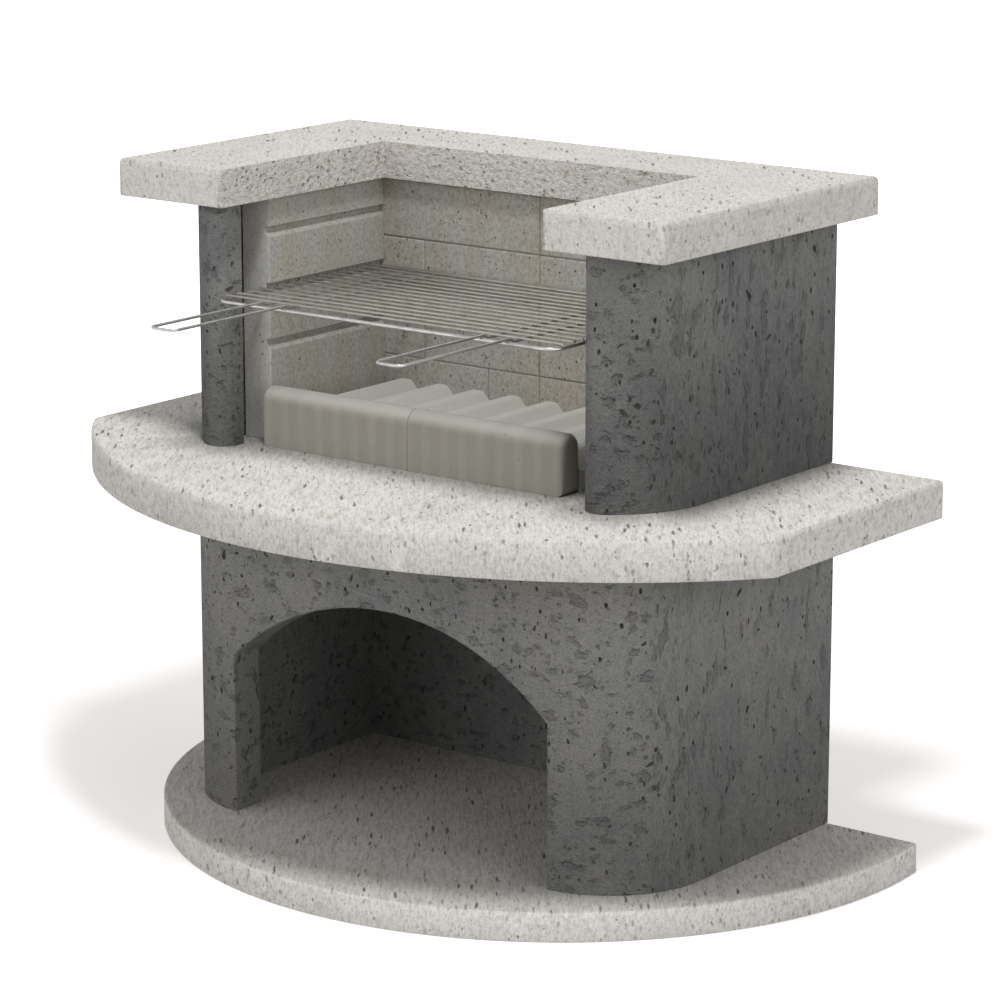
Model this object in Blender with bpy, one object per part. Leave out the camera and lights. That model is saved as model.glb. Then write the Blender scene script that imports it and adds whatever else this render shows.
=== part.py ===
"""Free-standing masonry barbecue of precast concrete, firebrick and chromed wire.

It stands as a dry stack: a D-shaped base plate, a lower body with an arched wood store, a table
plate, two cheeks and a back wall lined with firebrick, and a U-shaped cap plate. A chromed wire
grate slides in the middle one of three grooves in the side linings.

Lengths are metres. X runs across the front, Y towards the back and Z up. The origin lies on the
ground, in the middle of the footprint.
"""

import math

import bmesh
import bpy
from mathutils import Matrix, Vector

# Gap left between two pieces that touch, and how far a cutter runs past what it cuts
SEAT_GAP = 0.0003
CUT_OVERRUN = 0.010

# Softened edges of the three cast plates, and the angles from which an edge counts as a corner
PLATE_CORNER_RADIUS = 0.004
PLATE_EDGE_SEGMENTS = 3
SHARP_EDGE = math.radians(35)
CORNER_TURN = math.radians(12)
FACING_SHARE = 0.99

# Base plate: a disc cut off straight at the back
BASE_RADIUS = 0.543
BASE_DEPTH = 0.6175
BASE_THICKNESS = 0.040
BASE_EDGE_RADIUS = 0.004
BASE_ARC_STEPS = 56

# Table plate: straight sides and a bowed front
TABLE_WIDTH = 1.130
TABLE_DEPTH = 0.669
TABLE_SIDE_LENGTH = 0.3885
TABLE_THICKNESS = 0.050
TABLE_EDGE_RADIUS = 0.005
TABLE_ARC_STEPS = 40

# Lower body
LOWER_WIDTH = 0.796
LOWER_DEPTH = 0.4485
LOWER_HEIGHT = 0.4444
LOWER_WALL = 0.051
LOWER_CORNER_RADIUS = 0.144
LOWER_CORNER_STEPS = 14
ARCH_RETURN_LENGTH = 0.1495
ARCH_WIDTH = 0.524
ARCH_SPRING_HEIGHT = 0.2185
ARCH_RISE = 0.1035
ARCH_STEPS = 24

# Upper body: two cheeks with rounded noses and a back wall between them
UPPER_WIDTH = 0.788
UPPER_HEIGHT = 0.3294
CHEEK_WALL = 0.070
CHEEK_CORNER_RADIUS = 0.142
CHEEK_STRAIGHT_LENGTH = 0.302
CHEEK_CORNER_STEPS = 10
NOSE_PASSAGE = 0.582
NOSE_RADIUS = 0.025
NOSE_STEPS = 10
NOSE_FLAT_LENGTH = 0.0156
NOSE_REAR_CHAMFER = 0.003
BACK_WALL_THICKNESS = 0.060

# Firebrick lining
LINING_THICKNESS = 0.047
LINING_SIDE_PLAY = 0.0035
LINING_BACK_PLAY = 0.003
LINING_TOP_PLAY = 0.0009
SIDE_LINING_LENGTH = 0.2405
BRICK_MIDDLE_HEIGHT = 0.165
BRICK_MAIN_JOINT_X = -0.0056
BRICK_MIDDLE_JOINT_X = -0.203
BRICK_LOW_JOINT_X = -0.0925
BRICK_CHAMFER = 0.0025

# Grooves for the grate, each with a flat roof and a sloping lower lip
GROOVE_COUNT = 3
GROOVE_TOP_HEIGHT = 0.290
GROOVE_PITCH = 0.076
GROOVE_MOUTH = 0.014
GROOVE_DEPTH = 0.007
GROOVE_LIP_RISE = 0.007
GRATE_GROOVE_INDEX = 1

# Hearth set: two ember bars and two bed tiles, laid loose between the linings
HEARTH_LEFT_PLAY = 0.0065
HEARTH_RIGHT_PLAY = 0.039

# Ember bars: two round-topped firebrick bars set down in front of the fire bed
EMBER_THICKNESS = 0.040
EMBER_HEIGHT = 0.079
EMBER_STANDOUT = 0.030
EMBER_CROWN_STEPS = 12

# Fire bed: two tiles with ridges that run from front to back
BED_SLAB = 0.028
RIDGE_COUNT = 4
RIDGE_TOP = 0.018
RIDGE_VALLEY = 0.003
RIDGE_HEIGHT = 0.022

# Cap plate: a U that is open to the front
CAP_WIDTH = 0.888
CAP_DEPTH = 0.483
CAP_THICKNESS = 0.050
CAP_OPENING = 0.522
CAP_BACK_BAND = 0.1475
CAP_BACK_OVERHANG = 0.023
CAP_EDGE_RADIUS = 0.008

# Grate: a wire ring, crossing rods and two handle wires that run on under the rods
RING_DEPTH = 0.340
RING_WIRE = 0.005
RING_SIDE_PLAY = 0.0025
RING_CORNER_RADIUS = 0.020
RING_CORNER_STEPS = 6
RING_BACK_PLAY = 0.007
ROD_COUNT = 15
ROD_WIRE = 0.003
ROD_SIDES = 10
HANDLE_WIRE = 0.004
HANDLE_SPREAD = 0.041
HANDLE_OFFSET = 0.183
HANDLE_REACH = 0.209
HANDLE_BEND_RADIUS = 0.012
HANDLE_BEND_STEPS = 6
HANDLE_JOGGLE_START = 0.0055
HANDLE_JOGGLE_LENGTH = 0.010
WIRE_BEVEL_RESOLUTION = 2

# Finishes: colour, roughness and metallic value
PALE_CONCRETE = ((0.560, 0.540, 0.500), 0.85, 0.0)
DARK_CONCRETE = ((0.110, 0.110, 0.106), 0.80, 0.0)
FIREBRICK = ((0.245, 0.232, 0.200), 0.90, 0.0)
FIRED_CLAY = ((0.270, 0.255, 0.220), 0.88, 0.0)
CHROME = ((0.620, 0.620, 0.630), 0.18, 1.0)

# Levels, from the ground up
BASE_TOP = BASE_THICKNESS
LOWER_BOTTOM = BASE_TOP + SEAT_GAP
LOWER_TOP = LOWER_BOTTOM + LOWER_HEIGHT
TABLE_BOTTOM = LOWER_TOP + SEAT_GAP
TABLE_TOP = TABLE_BOTTOM + TABLE_THICKNESS
UPPER_BOTTOM = TABLE_TOP + SEAT_GAP
UPPER_TOP = UPPER_BOTTOM + UPPER_HEIGHT
CAP_BOTTOM = UPPER_TOP + SEAT_GAP
LINING_TOP = UPPER_TOP - LINING_TOP_PLAY

# Planes across the depth: every wall and plate but the cap ends in one back plane
BACK_Y = (TABLE_DEPTH - CAP_BACK_OVERHANG) / 2
LOWER_FRONT_Y = BACK_Y - LOWER_DEPTH
LOWER_SIDE_FRONT_Y = LOWER_FRONT_Y + ARCH_RETURN_LENGTH
BRICK_BACK_Y = BACK_Y - BACK_WALL_THICKNESS - LINING_BACK_PLAY
BRICK_FRONT_Y = BRICK_BACK_Y - LINING_THICKNESS
SIDE_LINING_BACK_Y = BRICK_FRONT_Y - SEAT_GAP
SIDE_LINING_FRONT_Y = SIDE_LINING_BACK_Y - SIDE_LINING_LENGTH
EMBER_FRONT_Y = SIDE_LINING_FRONT_Y - EMBER_STANDOUT
EMBER_BACK_Y = EMBER_FRONT_Y + EMBER_THICKNESS
RING_MIDDLE_Y = BRICK_FRONT_Y - RING_BACK_PLAY - RING_DEPTH / 2

# Planes across the width, from the middle out
CHEEK_INNER_X = UPPER_WIDTH / 2 - CHEEK_WALL
LINING_OUTER_X = CHEEK_INNER_X - LINING_SIDE_PLAY
LINING_INNER_X = LINING_OUTER_X - LINING_THICKNESS
RING_WIRE_X = LINING_INNER_X + GROOVE_DEPTH - RING_SIDE_PLAY - RING_WIRE / 2
HEARTH_LEFT_X = HEARTH_LEFT_PLAY - LINING_INNER_X
HEARTH_RIGHT_X = LINING_INNER_X - HEARTH_RIGHT_PLAY
HEARTH_PIECE_WIDTH = (HEARTH_RIGHT_X - HEARTH_LEFT_X - SEAT_GAP) / 2


def groove_roof(index):
    """Height of the flat roof of one groove, counted from the highest."""
    return TABLE_TOP + GROOVE_TOP_HEIGHT - index * GROOVE_PITCH


def ring_height():
    """Height of the ring's wire where it lies on the sloping lips of its pair of grooves."""
    slope = math.atan2(GROOVE_LIP_RISE, GROOVE_DEPTH)
    lip = groove_roof(GRATE_GROOVE_INDEX) - GROOVE_MOUTH
    along = RING_WIRE_X - LINING_INNER_X
    return lip + along * math.tan(slope) + (RING_WIRE / 2 + SEAT_GAP) / math.cos(slope)


# The grate's own frame has its origin in the middle of the ring's centre line
RING_HALF_DEPTH = (RING_DEPTH - RING_WIRE) / 2
ROD_RISE = (RING_WIRE + ROD_WIRE) / 2 + SEAT_GAP
HANDLE_RISE_OVER_RING = (RING_WIRE + HANDLE_WIRE) / 2 + SEAT_GAP
HANDLE_RISE_UNDER_RODS = ROD_RISE - (ROD_WIRE + HANDLE_WIRE) / 2 - SEAT_GAP


def clear_scene():
    """Remove every object of the scene that the script starts in."""
    for obj in list(bpy.data.objects):
        bpy.data.objects.remove(obj, do_unlink=True)


def make_material(name, finish):
    """A Principled material for one piece."""
    colour, roughness, metallic = finish
    material = bpy.data.materials.new(name)
    material.use_nodes = True
    shader = material.node_tree.nodes["Principled BSDF"]
    shader.inputs["Base Color"].default_value = (*colour, 1.0)
    shader.inputs["Roughness"].default_value = roughness
    shader.inputs["Metallic"].default_value = metallic
    material.diffuse_color = (*colour, 1.0)
    return material


def link_object(name, data, finish):
    """Put a piece into the scene and give it its own material."""
    obj = bpy.data.objects.new(name, data)
    bpy.context.scene.collection.objects.link(obj)
    data.materials.append(make_material(name, finish))
    return obj


def mesh_object(name, bm, finish):
    """Turn a bmesh into a piece whose round stretches are shaded smooth."""
    bmesh.ops.recalc_face_normals(bm, faces=bm.faces[:])
    mesh = bpy.data.meshes.new(name)
    bm.to_mesh(mesh)
    bm.free()
    mesh.shade_smooth()
    mesh.set_sharp_from_angle(angle=SHARP_EDGE)
    return link_object(name, mesh, finish)


def arc(centre, radius, start, end, steps):
    """Points of an arc, both ends included; the angles are in degrees."""
    turns = [math.radians(start + (end - start) * step / steps) for step in range(steps + 1)]
    return [
        (centre[0] + radius * math.cos(turn), centre[1] + radius * math.sin(turn))
        for turn in turns
    ]


def mirrored(points):
    """The same outline on the other side of the middle plane."""
    return [(-x, y) for x, y in reversed(points)]


def extruded(outline, place, along):
    """A solid: the outline, put in space by place, and drawn out along a vector."""
    bm = bmesh.new()
    face = bm.faces.new([bm.verts.new(place(point)) for point in outline])
    drawn = bmesh.ops.extrude_face_region(bm, geom=[face])["geom"]
    verts = [item for item in drawn if isinstance(item, bmesh.types.BMVert)]
    bmesh.ops.translate(bm, verts=verts, vec=Vector(along))
    bmesh.ops.recalc_face_normals(bm, faces=bm.faces[:])
    return bm


def standing(outline, bottom, height):
    """A solid that stands on a plan outline."""
    return extruded(outline, lambda p: (p[0], p[1], bottom), (0, 0, height))


def profile_along_y(outline, start, end):
    """A solid of one (x, z) profile from start to end along Y."""
    return extruded(outline, lambda p: (p[0], start, p[1]), (0, end - start, 0))


def profile_along_x(outline, start, end):
    """A solid of one (y, z) profile from start to end along X."""
    return extruded(outline, lambda p: (start, p[0], p[1]), (end - start, 0, 0))


def is_level(edge):
    """Whether both ends of an edge are at one height."""
    first, second = edge.verts
    return abs(first.co.z - second.co.z) < SEAT_GAP


def bevel(bm, edges, width, segments):
    """Round or chamfer some edges."""
    bmesh.ops.bevel(
        bm, geom=edges, offset=width, segments=segments, profile=0.5, affect="EDGES", material=-1
    )


def cast_plate(name, outline, bottom, thickness, edge_radius, square_edges=()):
    """A cast plate: softened upright corners, a rounded upper edge and a square lower one.

    Upper edges between two of the outline's points listed in square_edges stay square.
    """
    bm = standing(outline, bottom, thickness)
    top = bottom + thickness
    square = [Vector((*outline[index], top)) for index in square_edges]
    rim = []
    for edge in bm.edges:
        ends = [vert.co for vert in edge.verts]
        on_top = all(abs(end.z - top) < SEAT_GAP for end in ends)
        stays = all(any((end - point).length < SEAT_GAP for point in square) for end in ends)
        if on_top and not stays:
            rim.append(edge)
    bevel(bm, rim, edge_radius, PLATE_EDGE_SEGMENTS)
    corners = [
        edge
        for edge in bm.edges
        if edge.is_convex and not is_level(edge) and edge.calc_face_angle() > CORNER_TURN
    ]
    bevel(bm, corners, PLATE_CORNER_RADIUS, PLATE_EDGE_SEGMENTS)
    return mesh_object(name, bm, PALE_CONCRETE)


def make_base_plate():
    """The D-shaped plate that everything stands on."""
    setback = BASE_DEPTH - BASE_RADIUS
    rise = math.degrees(math.asin(setback / BASE_RADIUS))
    centre = (0, BACK_Y - setback)
    outline = arc(centre, BASE_RADIUS, 180 - rise, 360 + rise, BASE_ARC_STEPS)
    return cast_plate("base_plate", outline, 0, BASE_THICKNESS, BASE_EDGE_RADIUS)


def make_table_plate():
    """The plate between the two bodies: straight sides, bowed front."""
    half = TABLE_WIDTH / 2
    bow = TABLE_DEPTH - TABLE_SIDE_LENGTH
    radius = (half**2 + bow**2) / (2 * bow)
    centre = (0, BACK_Y - TABLE_DEPTH + radius)
    spread = math.degrees(math.asin(half / radius))
    front = arc(centre, radius, 270 - spread, 270 + spread, TABLE_ARC_STEPS)
    outline = [(-half, BACK_Y), *front, (half, BACK_Y)]
    return cast_plate(
        "table_plate", outline, TABLE_BOTTOM, TABLE_THICKNESS, TABLE_EDGE_RADIUS
    )


def shell_front(half, front, radius, back, steps):
    """Plan line from the left end of a rounded front round to its right end."""
    left = arc((-half + radius, front + radius), radius, 180, 270, steps)
    right = arc((half - radius, front + radius), radius, 270, 360, steps)
    return [(-half, back), *left, *right, (half, back)]


def make_arch_cutter():
    """The shape of the arched opening, as a cutter that is not part of the object."""
    half = ARCH_WIDTH / 2
    radius = (half**2 + ARCH_RISE**2) / (2 * ARCH_RISE)
    spring = BASE_TOP + ARCH_SPRING_HEIGHT
    crown = spring + ARCH_RISE
    spread = math.degrees(math.asin(half / radius))
    curve = arc((0, crown - radius), radius, 90 - spread, 90 + spread, ARCH_STEPS)
    foot = LOWER_BOTTOM - CUT_OVERRUN
    outline = [(half, foot), *curve, (-half, foot)]
    start = LOWER_FRONT_Y - CUT_OVERRUN
    end = LOWER_FRONT_Y + LOWER_WALL + CUT_OVERRUN
    cutter = mesh_object("arch_cutter", profile_along_y(outline, start, end), DARK_CONCRETE)
    cutter.hide_render = True
    cutter.display_type = "WIRE"
    return cutter


def make_arch_front():
    """The front of the lower body, with its round corners and its arched opening."""
    half = LOWER_WIDTH / 2
    back = LOWER_SIDE_FRONT_Y - SEAT_GAP
    outer = shell_front(half, LOWER_FRONT_Y, LOWER_CORNER_RADIUS, back, LOWER_CORNER_STEPS)
    inner = shell_front(
        half - LOWER_WALL,
        LOWER_FRONT_Y + LOWER_WALL,
        LOWER_CORNER_RADIUS - LOWER_WALL,
        back,
        LOWER_CORNER_STEPS,
    )
    bm = standing(outer + list(reversed(inner)), LOWER_BOTTOM, LOWER_HEIGHT)
    front = mesh_object("arch_front", bm, DARK_CONCRETE)
    cut = front.modifiers.new("arch", "BOOLEAN")
    cut.operation = "DIFFERENCE"
    cut.object = make_arch_cutter()
    return front


def slab(name, low, high, finish, chamfer=0, chamfer_side=None):
    """A square-edged block between two corners, with chamfers round one face if asked."""
    outline = [(low[0], low[1]), (high[0], low[1]), (high[0], high[1]), (low[0], high[1])]
    bm = standing(outline, low[2], high[2] - low[2])
    if chamfer:
        faces = [face for face in bm.faces if face.normal.dot(chamfer_side) > FACING_SHARE]
        bevel(bm, list({edge for face in faces for edge in face.edges}), chamfer, 1)
    return mesh_object(name, bm, finish)


def make_lower_walls():
    """Side and back walls of the wood store, behind the arched front."""
    half = LOWER_WIDTH / 2
    for name, outer in (("lower_left_wall", -half), ("lower_right_wall", half)):
        inner = outer - math.copysign(LOWER_WALL, outer)
        low = (min(outer, inner), LOWER_SIDE_FRONT_Y, LOWER_BOTTOM)
        high = (max(outer, inner), BACK_Y, LOWER_TOP)
        slab(name, low, high, DARK_CONCRETE)
    reach = half - LOWER_WALL - SEAT_GAP
    low = (-reach, BACK_Y - LOWER_WALL, LOWER_BOTTOM)
    slab("lower_back_wall", low, (reach, BACK_Y, LOWER_TOP), DARK_CONCRETE)


def cheek_outline():
    """Plan of the right cheek: a wall that swells into a rounded nose at the front."""
    outer = UPPER_WIDTH / 2
    corner = Vector((outer - CHEEK_CORNER_RADIUS, BACK_Y - CHEEK_STRAIGHT_LENGTH))
    nose_x = NOSE_PASSAGE / 2 + NOSE_RADIUS
    reach = CHEEK_CORNER_RADIUS - NOSE_RADIUS
    nose = Vector((nose_x, corner.y - math.sqrt(reach**2 - (nose_x - corner.x) ** 2)))
    meet = math.degrees(math.atan2(nose.y - corner.y, nose.x - corner.x))
    rear = nose.y + NOSE_FLAT_LENGTH
    return [
        (CHEEK_INNER_X, BACK_Y),
        (CHEEK_INNER_X, rear),
        (NOSE_PASSAGE / 2 + NOSE_REAR_CHAMFER, rear),
        (NOSE_PASSAGE / 2, rear - NOSE_REAR_CHAMFER),
        *arc(nose, NOSE_RADIUS, -180, meet, NOSE_STEPS),
        *arc(corner, CHEEK_CORNER_RADIUS, meet, 0, CHEEK_CORNER_STEPS)[1:],
        (outer, BACK_Y),
    ]


def make_upper_walls():
    """The two cheeks and the back wall that stands between them."""
    outline = cheek_outline()
    for name, plan in (("left_cheek", mirrored(outline)), ("right_cheek", outline)):
        mesh_object(name, standing(plan, UPPER_BOTTOM, UPPER_HEIGHT), DARK_CONCRETE)
    reach = CHEEK_INNER_X - SEAT_GAP
    low = (-reach, BACK_Y - BACK_WALL_THICKNESS, UPPER_BOTTOM)
    slab("upper_back_wall", low, (reach, BACK_Y, UPPER_TOP), DARK_CONCRETE)


def lining_profile():
    """Section of the right side lining, with its grooves cut into the inner face."""
    profile = [(LINING_OUTER_X, UPPER_BOTTOM), (LINING_INNER_X, UPPER_BOTTOM)]
    bottom_x = LINING_INNER_X + GROOVE_DEPTH
    for index in reversed(range(GROOVE_COUNT)):
        roof = groove_roof(index)
        lip = roof - GROOVE_MOUTH
        profile += [
            (LINING_INNER_X, lip),
            (bottom_x, lip + GROOVE_LIP_RISE),
            (bottom_x, roof),
            (LINING_INNER_X, roof),
        ]
    return profile + [(LINING_INNER_X, LINING_TOP), (LINING_OUTER_X, LINING_TOP)]


def make_side_linings():
    """The grooved firebrick slabs on both sides of the fire."""
    profile = lining_profile()
    for name, section in (("left_lining", mirrored(profile)), ("right_lining", profile)):
        bm = profile_along_y(section, SIDE_LINING_FRONT_Y, SIDE_LINING_BACK_Y)
        mesh_object(name, bm, FIREBRICK)


def make_back_bricks():
    """The back lining: a full row of firebricks between two half-high rows.

    One joint runs through all rows near the middle. The two lower rows have one more, left of it.
    """
    spare = LINING_TOP - UPPER_BOTTOM - BRICK_MIDDLE_HEIGHT - 2 * SEAT_GAP
    rows = (
        ("low", spare / 2, (BRICK_LOW_JOINT_X, BRICK_MAIN_JOINT_X)),
        ("middle", BRICK_MIDDLE_HEIGHT, (BRICK_MIDDLE_JOINT_X, BRICK_MAIN_JOINT_X)),
        ("high", spare / 2, (BRICK_MAIN_JOINT_X,)),
    )
    towards_fire = Vector((0, -1, 0))
    bottom = UPPER_BOTTOM
    for row, height, joints in rows:
        cuts = (-LINING_OUTER_X, *joints, LINING_OUTER_X)
        for column, (left, right) in enumerate(zip(cuts, cuts[1:])):
            low = (left + SEAT_GAP / 2, BRICK_FRONT_Y, bottom)
            high = (right - SEAT_GAP / 2, BRICK_BACK_Y, bottom + height)
            name = f"back_brick_{row}_{column + 1}"
            slab(name, low, high, FIREBRICK, BRICK_CHAMFER, towards_fire)
        bottom += height + SEAT_GAP


def make_ember_bars():
    """Two bars with half-round tops, end to end in front of the fire bed."""
    crown = EMBER_THICKNESS / 2
    middle = (EMBER_FRONT_Y + crown, UPPER_BOTTOM + EMBER_HEIGHT - crown)
    profile = [
        (EMBER_FRONT_Y, UPPER_BOTTOM),
        (EMBER_BACK_Y, UPPER_BOTTOM),
        *arc(middle, crown, 0, 180, EMBER_CROWN_STEPS),
    ]
    for name, left in (
        ("ember_bar_left", HEARTH_LEFT_X),
        ("ember_bar_right", HEARTH_RIGHT_X - HEARTH_PIECE_WIDTH),
    ):
        bm = profile_along_x(profile, left, left + HEARTH_PIECE_WIDTH)
        mesh_object(name, bm, FIRED_CLAY)


def bed_profile(left):
    """Section of one fire-bed tile: a slab with trapezoid ridges on it."""
    right = left + HEARTH_PIECE_WIDTH
    valley = UPPER_BOTTOM + BED_SLAB
    crest = valley + RIDGE_HEIGHT
    pitch = HEARTH_PIECE_WIDTH / RIDGE_COUNT
    foot = (pitch - RIDGE_VALLEY) / 2
    profile = [(right, UPPER_BOTTOM), (left, UPPER_BOTTOM), (left, valley)]
    for index in range(RIDGE_COUNT):
        centre = left + (2 * index + 1) * pitch / 2
        profile += [
            (centre - foot, valley),
            (centre - RIDGE_TOP / 2, crest),
            (centre + RIDGE_TOP / 2, crest),
            (centre + foot, valley),
        ]
    return profile + [(right, valley)]


def make_fire_bed():
    """The two ridged tiles that the embers lie on."""
    start = EMBER_BACK_Y + SEAT_GAP
    end = BRICK_FRONT_Y - SEAT_GAP
    for name, left in (
        ("fire_bed_left", HEARTH_LEFT_X),
        ("fire_bed_right", HEARTH_RIGHT_X - HEARTH_PIECE_WIDTH),
    ):
        mesh_object(name, profile_along_y(bed_profile(left), start, end), FIRED_CLAY)


def make_cap_plate():
    """The U-shaped plate on top, open to the front and overhanging all round."""
    half = CAP_WIDTH / 2
    opening = CAP_OPENING / 2
    back = BACK_Y + CAP_BACK_OVERHANG
    front = back - CAP_DEPTH
    inner = back - CAP_BACK_BAND
    mouth = [(-opening, front), (-opening, inner), (opening, inner), (opening, front)]
    outline = [*mouth, (half, front), (half, back), (-half, back), (-half, front)]
    square = range(len(mouth))
    return cast_plate(
        "cap_plate", outline, CAP_BOTTOM, CAP_THICKNESS, CAP_EDGE_RADIUS, square
    )


def wire_object(name, points, diameter, closed):
    """A bent round wire along some points, as a curve with a round bevel."""
    curve = bpy.data.curves.new(name, "CURVE")
    curve.dimensions = "3D"
    curve.bevel_depth = diameter / 2
    curve.bevel_resolution = WIRE_BEVEL_RESOLUTION
    curve.use_fill_caps = not closed
    spline = curve.splines.new("POLY")
    spline.points.add(len(points) - 1)
    for place, point in zip(spline.points, points):
        place.co = (*point, 1.0)
    spline.use_cyclic_u = closed
    spline.use_smooth = True
    return link_object(name, curve, CHROME)


def make_grate_slide():
    """The empty that carries the grate and that moves with it along its grooves."""
    slide = bpy.data.objects.new("grate_slide", None)
    slide.location = (0, RING_MIDDLE_Y, ring_height())
    bpy.context.scene.collection.objects.link(slide)
    return slide


def make_grate_ring(slide):
    """The outer wire of the grate, bent into a ring with rounded corners."""
    radius = RING_CORNER_RADIUS
    x = RING_WIRE_X - radius
    y = RING_HALF_DEPTH - radius
    path = []
    for centre, start in (((-x, -y), 180), ((x, -y), 270), ((x, y), 0), ((-x, y), 90)):
        path += arc(centre, radius, start, start + 90, RING_CORNER_STEPS)
    ring = wire_object("grate_ring", [(*point, 0) for point in path], RING_WIRE, True)
    ring.parent = slide


def make_grate_rods(slide):
    """Thin rods laid across the ring at even spacing, welded at their ends."""
    pitch = 2 * RING_HALF_DEPTH / (ROD_COUNT + 1)
    bm = bmesh.new()
    turn = Matrix.Rotation(math.radians(90), 4, "Y")
    bmesh.ops.create_cone(
        bm,
        cap_ends=True,
        segments=ROD_SIDES,
        radius1=ROD_WIRE / 2,
        radius2=ROD_WIRE / 2,
        depth=2 * RING_WIRE_X,
        matrix=turn,
    )
    rod = mesh_object("grate_rod_01", bm, CHROME)
    for index in range(1, ROD_COUNT + 1):
        if index > 1:
            rod = bpy.data.objects.new(f"grate_rod_{index:02d}", rod.data)
            bpy.context.scene.collection.objects.link(rod)
        rod.location = (0, index * pitch - RING_HALF_DEPTH, ROD_RISE)
        rod.parent = slide


def handle_path():
    """Centre line of a handle wire: in under the rods, over the ring, round the grip and back."""
    rear = RING_HALF_DEPTH - RING_WIRE / 2 - SEAT_GAP
    high_y = HANDLE_JOGGLE_START - RING_HALF_DEPTH
    low_y = high_y + HANDLE_JOGGLE_LENGTH
    tip = (HANDLE_WIRE - RING_DEPTH) / 2 - HANDLE_REACH
    half = HANDLE_SPREAD / 2
    bend = HANDLE_BEND_RADIUS
    left = arc((bend - half, tip + bend), bend, 180, 270, HANDLE_BEND_STEPS)
    right = arc((half - bend, tip + bend), bend, 270, 360, HANDLE_BEND_STEPS)
    grip = [(x, y, HANDLE_RISE_OVER_RING) for x, y in left + right]
    leg = (
        (rear, HANDLE_RISE_UNDER_RODS),
        (low_y, HANDLE_RISE_UNDER_RODS),
        (high_y, HANDLE_RISE_OVER_RING),
    )
    inward = [(-half, y, z) for y, z in leg]
    outward = [(half, y, z) for y, z in reversed(leg)]
    return inward + grip + outward


def make_grate_handles(slide):
    """The two handle wires, whose legs carry the rods all the way to the ring's back."""
    for name, middle in (
        ("grate_handle_left", -HANDLE_OFFSET),
        ("grate_handle_right", HANDLE_OFFSET),
    ):
        handle = wire_object(name, handle_path(), HANDLE_WIRE, False)
        handle.location.x = middle
        handle.parent = slide


def main():
    """Build the whole barbecue from the ground up."""
    clear_scene()
    make_base_plate()
    make_arch_front()
    make_lower_walls()
    make_table_plate()
    make_upper_walls()
    make_side_linings()
    make_back_bricks()
    make_ember_bars()
    make_fire_bed()
    make_cap_plate()
    slide = make_grate_slide()
    make_grate_ring(slide)
    make_grate_rods(slide)
    make_grate_handles(slide)


main()
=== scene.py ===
"""Looks of a free-standing masonry barbecue, modelled around its packed construction.

Each sub-assembly is a class. Its sizes are fields, or come from the boxes of the construction's own
pieces, and its methods build the fine meshes and dress them. Lengths are metres, X runs across the
front, Y towards the back and Z up.
"""

import logging
import math
import random
from collections.abc import Callable, Iterable, Sequence
from dataclasses import dataclass, replace
from enum import Enum

import bmesh
import bpy
from mathutils import Matrix, Vector, noise


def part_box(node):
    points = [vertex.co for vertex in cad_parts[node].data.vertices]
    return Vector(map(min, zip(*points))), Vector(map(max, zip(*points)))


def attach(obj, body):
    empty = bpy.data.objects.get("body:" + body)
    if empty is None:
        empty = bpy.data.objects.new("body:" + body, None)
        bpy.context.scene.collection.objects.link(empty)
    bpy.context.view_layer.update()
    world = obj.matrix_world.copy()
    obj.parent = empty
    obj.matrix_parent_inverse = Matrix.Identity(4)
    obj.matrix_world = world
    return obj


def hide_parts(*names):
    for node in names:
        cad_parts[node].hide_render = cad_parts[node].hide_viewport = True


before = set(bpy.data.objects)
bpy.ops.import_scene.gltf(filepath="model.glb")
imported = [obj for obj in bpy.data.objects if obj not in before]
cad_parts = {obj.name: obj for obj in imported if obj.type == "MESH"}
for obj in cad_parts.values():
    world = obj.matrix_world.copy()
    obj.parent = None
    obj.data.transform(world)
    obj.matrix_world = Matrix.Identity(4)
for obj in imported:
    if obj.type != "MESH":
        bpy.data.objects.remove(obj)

LOG = logging.getLogger("barbecue")

# Points nearer to each other than this are one point.
TOUCH = 1e-5

# Angles between faces: from the first a shaded edge is sharp, from the second it is a corner.
SHARP_EDGE = math.radians(35)
CORNER_TURN = math.radians(12)

# A face counts as upright where its normal rises or falls less than this, and as square on to an
# axis where its normal reaches this far along it.
UPRIGHT = 0.5
SQUARE_ON = 1 - 1e-7

# What bevels are given: a round profile, and no material of their own.
ROUND_PROFILE = 0.5
KEEP_MATERIAL = -1

# How a bmesh is put in order.
SORTING_LINE = Vector((0.7123, 0.5381, 0.4509))
PLACE_DIGITS = 6

# Width of the net's meshes on flat faces that are drilled.
NET_PITCH = 0.022

# How air holes are made: ragged balls to choose from, room round each hole, and the way of the
# casting, along which the holes in level faces lie.
BALL_COUNT = 12
BALL_BUMPS = 1.3
BALL_SPREAD = 50
HOLE_CELL = 0.02
HOLE_ROOM = 1.2
LEVEL_FACE = 0.7
LEVEL_GRAIN = Vector((-0.61, 0.79, 0.0))

# Material slot of a drilled piece that its air holes take.
HOLE_SLOT = 1

# How near the two ends of a wire that closes on itself come before they are joined.
JOIN_REACH = TOUCH * 5

# Numbers of the Mix node's sockets, which share their names: for colours and for vectors.
COLOURS_IN = (6, 7)
COLOUR_OUT = 2
VECTORS_IN = (4, 5)
VECTOR_OUT = 1

# Length of one wave of a wave texture at scale 1.
WAVE_LENGTH = 0.314

# Where a grain is full, as a share of its radius, and where it is surely kept, as a share of luck.
FULL_GRAIN = 0.45
SURE_LUCK = 0.6

# Gloss of all stone, and the two plain colours that shades and bright ends are mixed with.
STONE_SHEEN = 0.09
BLACK = (0, 0, 0, 1)
WHITE = (1, 1, 1, 1)

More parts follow.
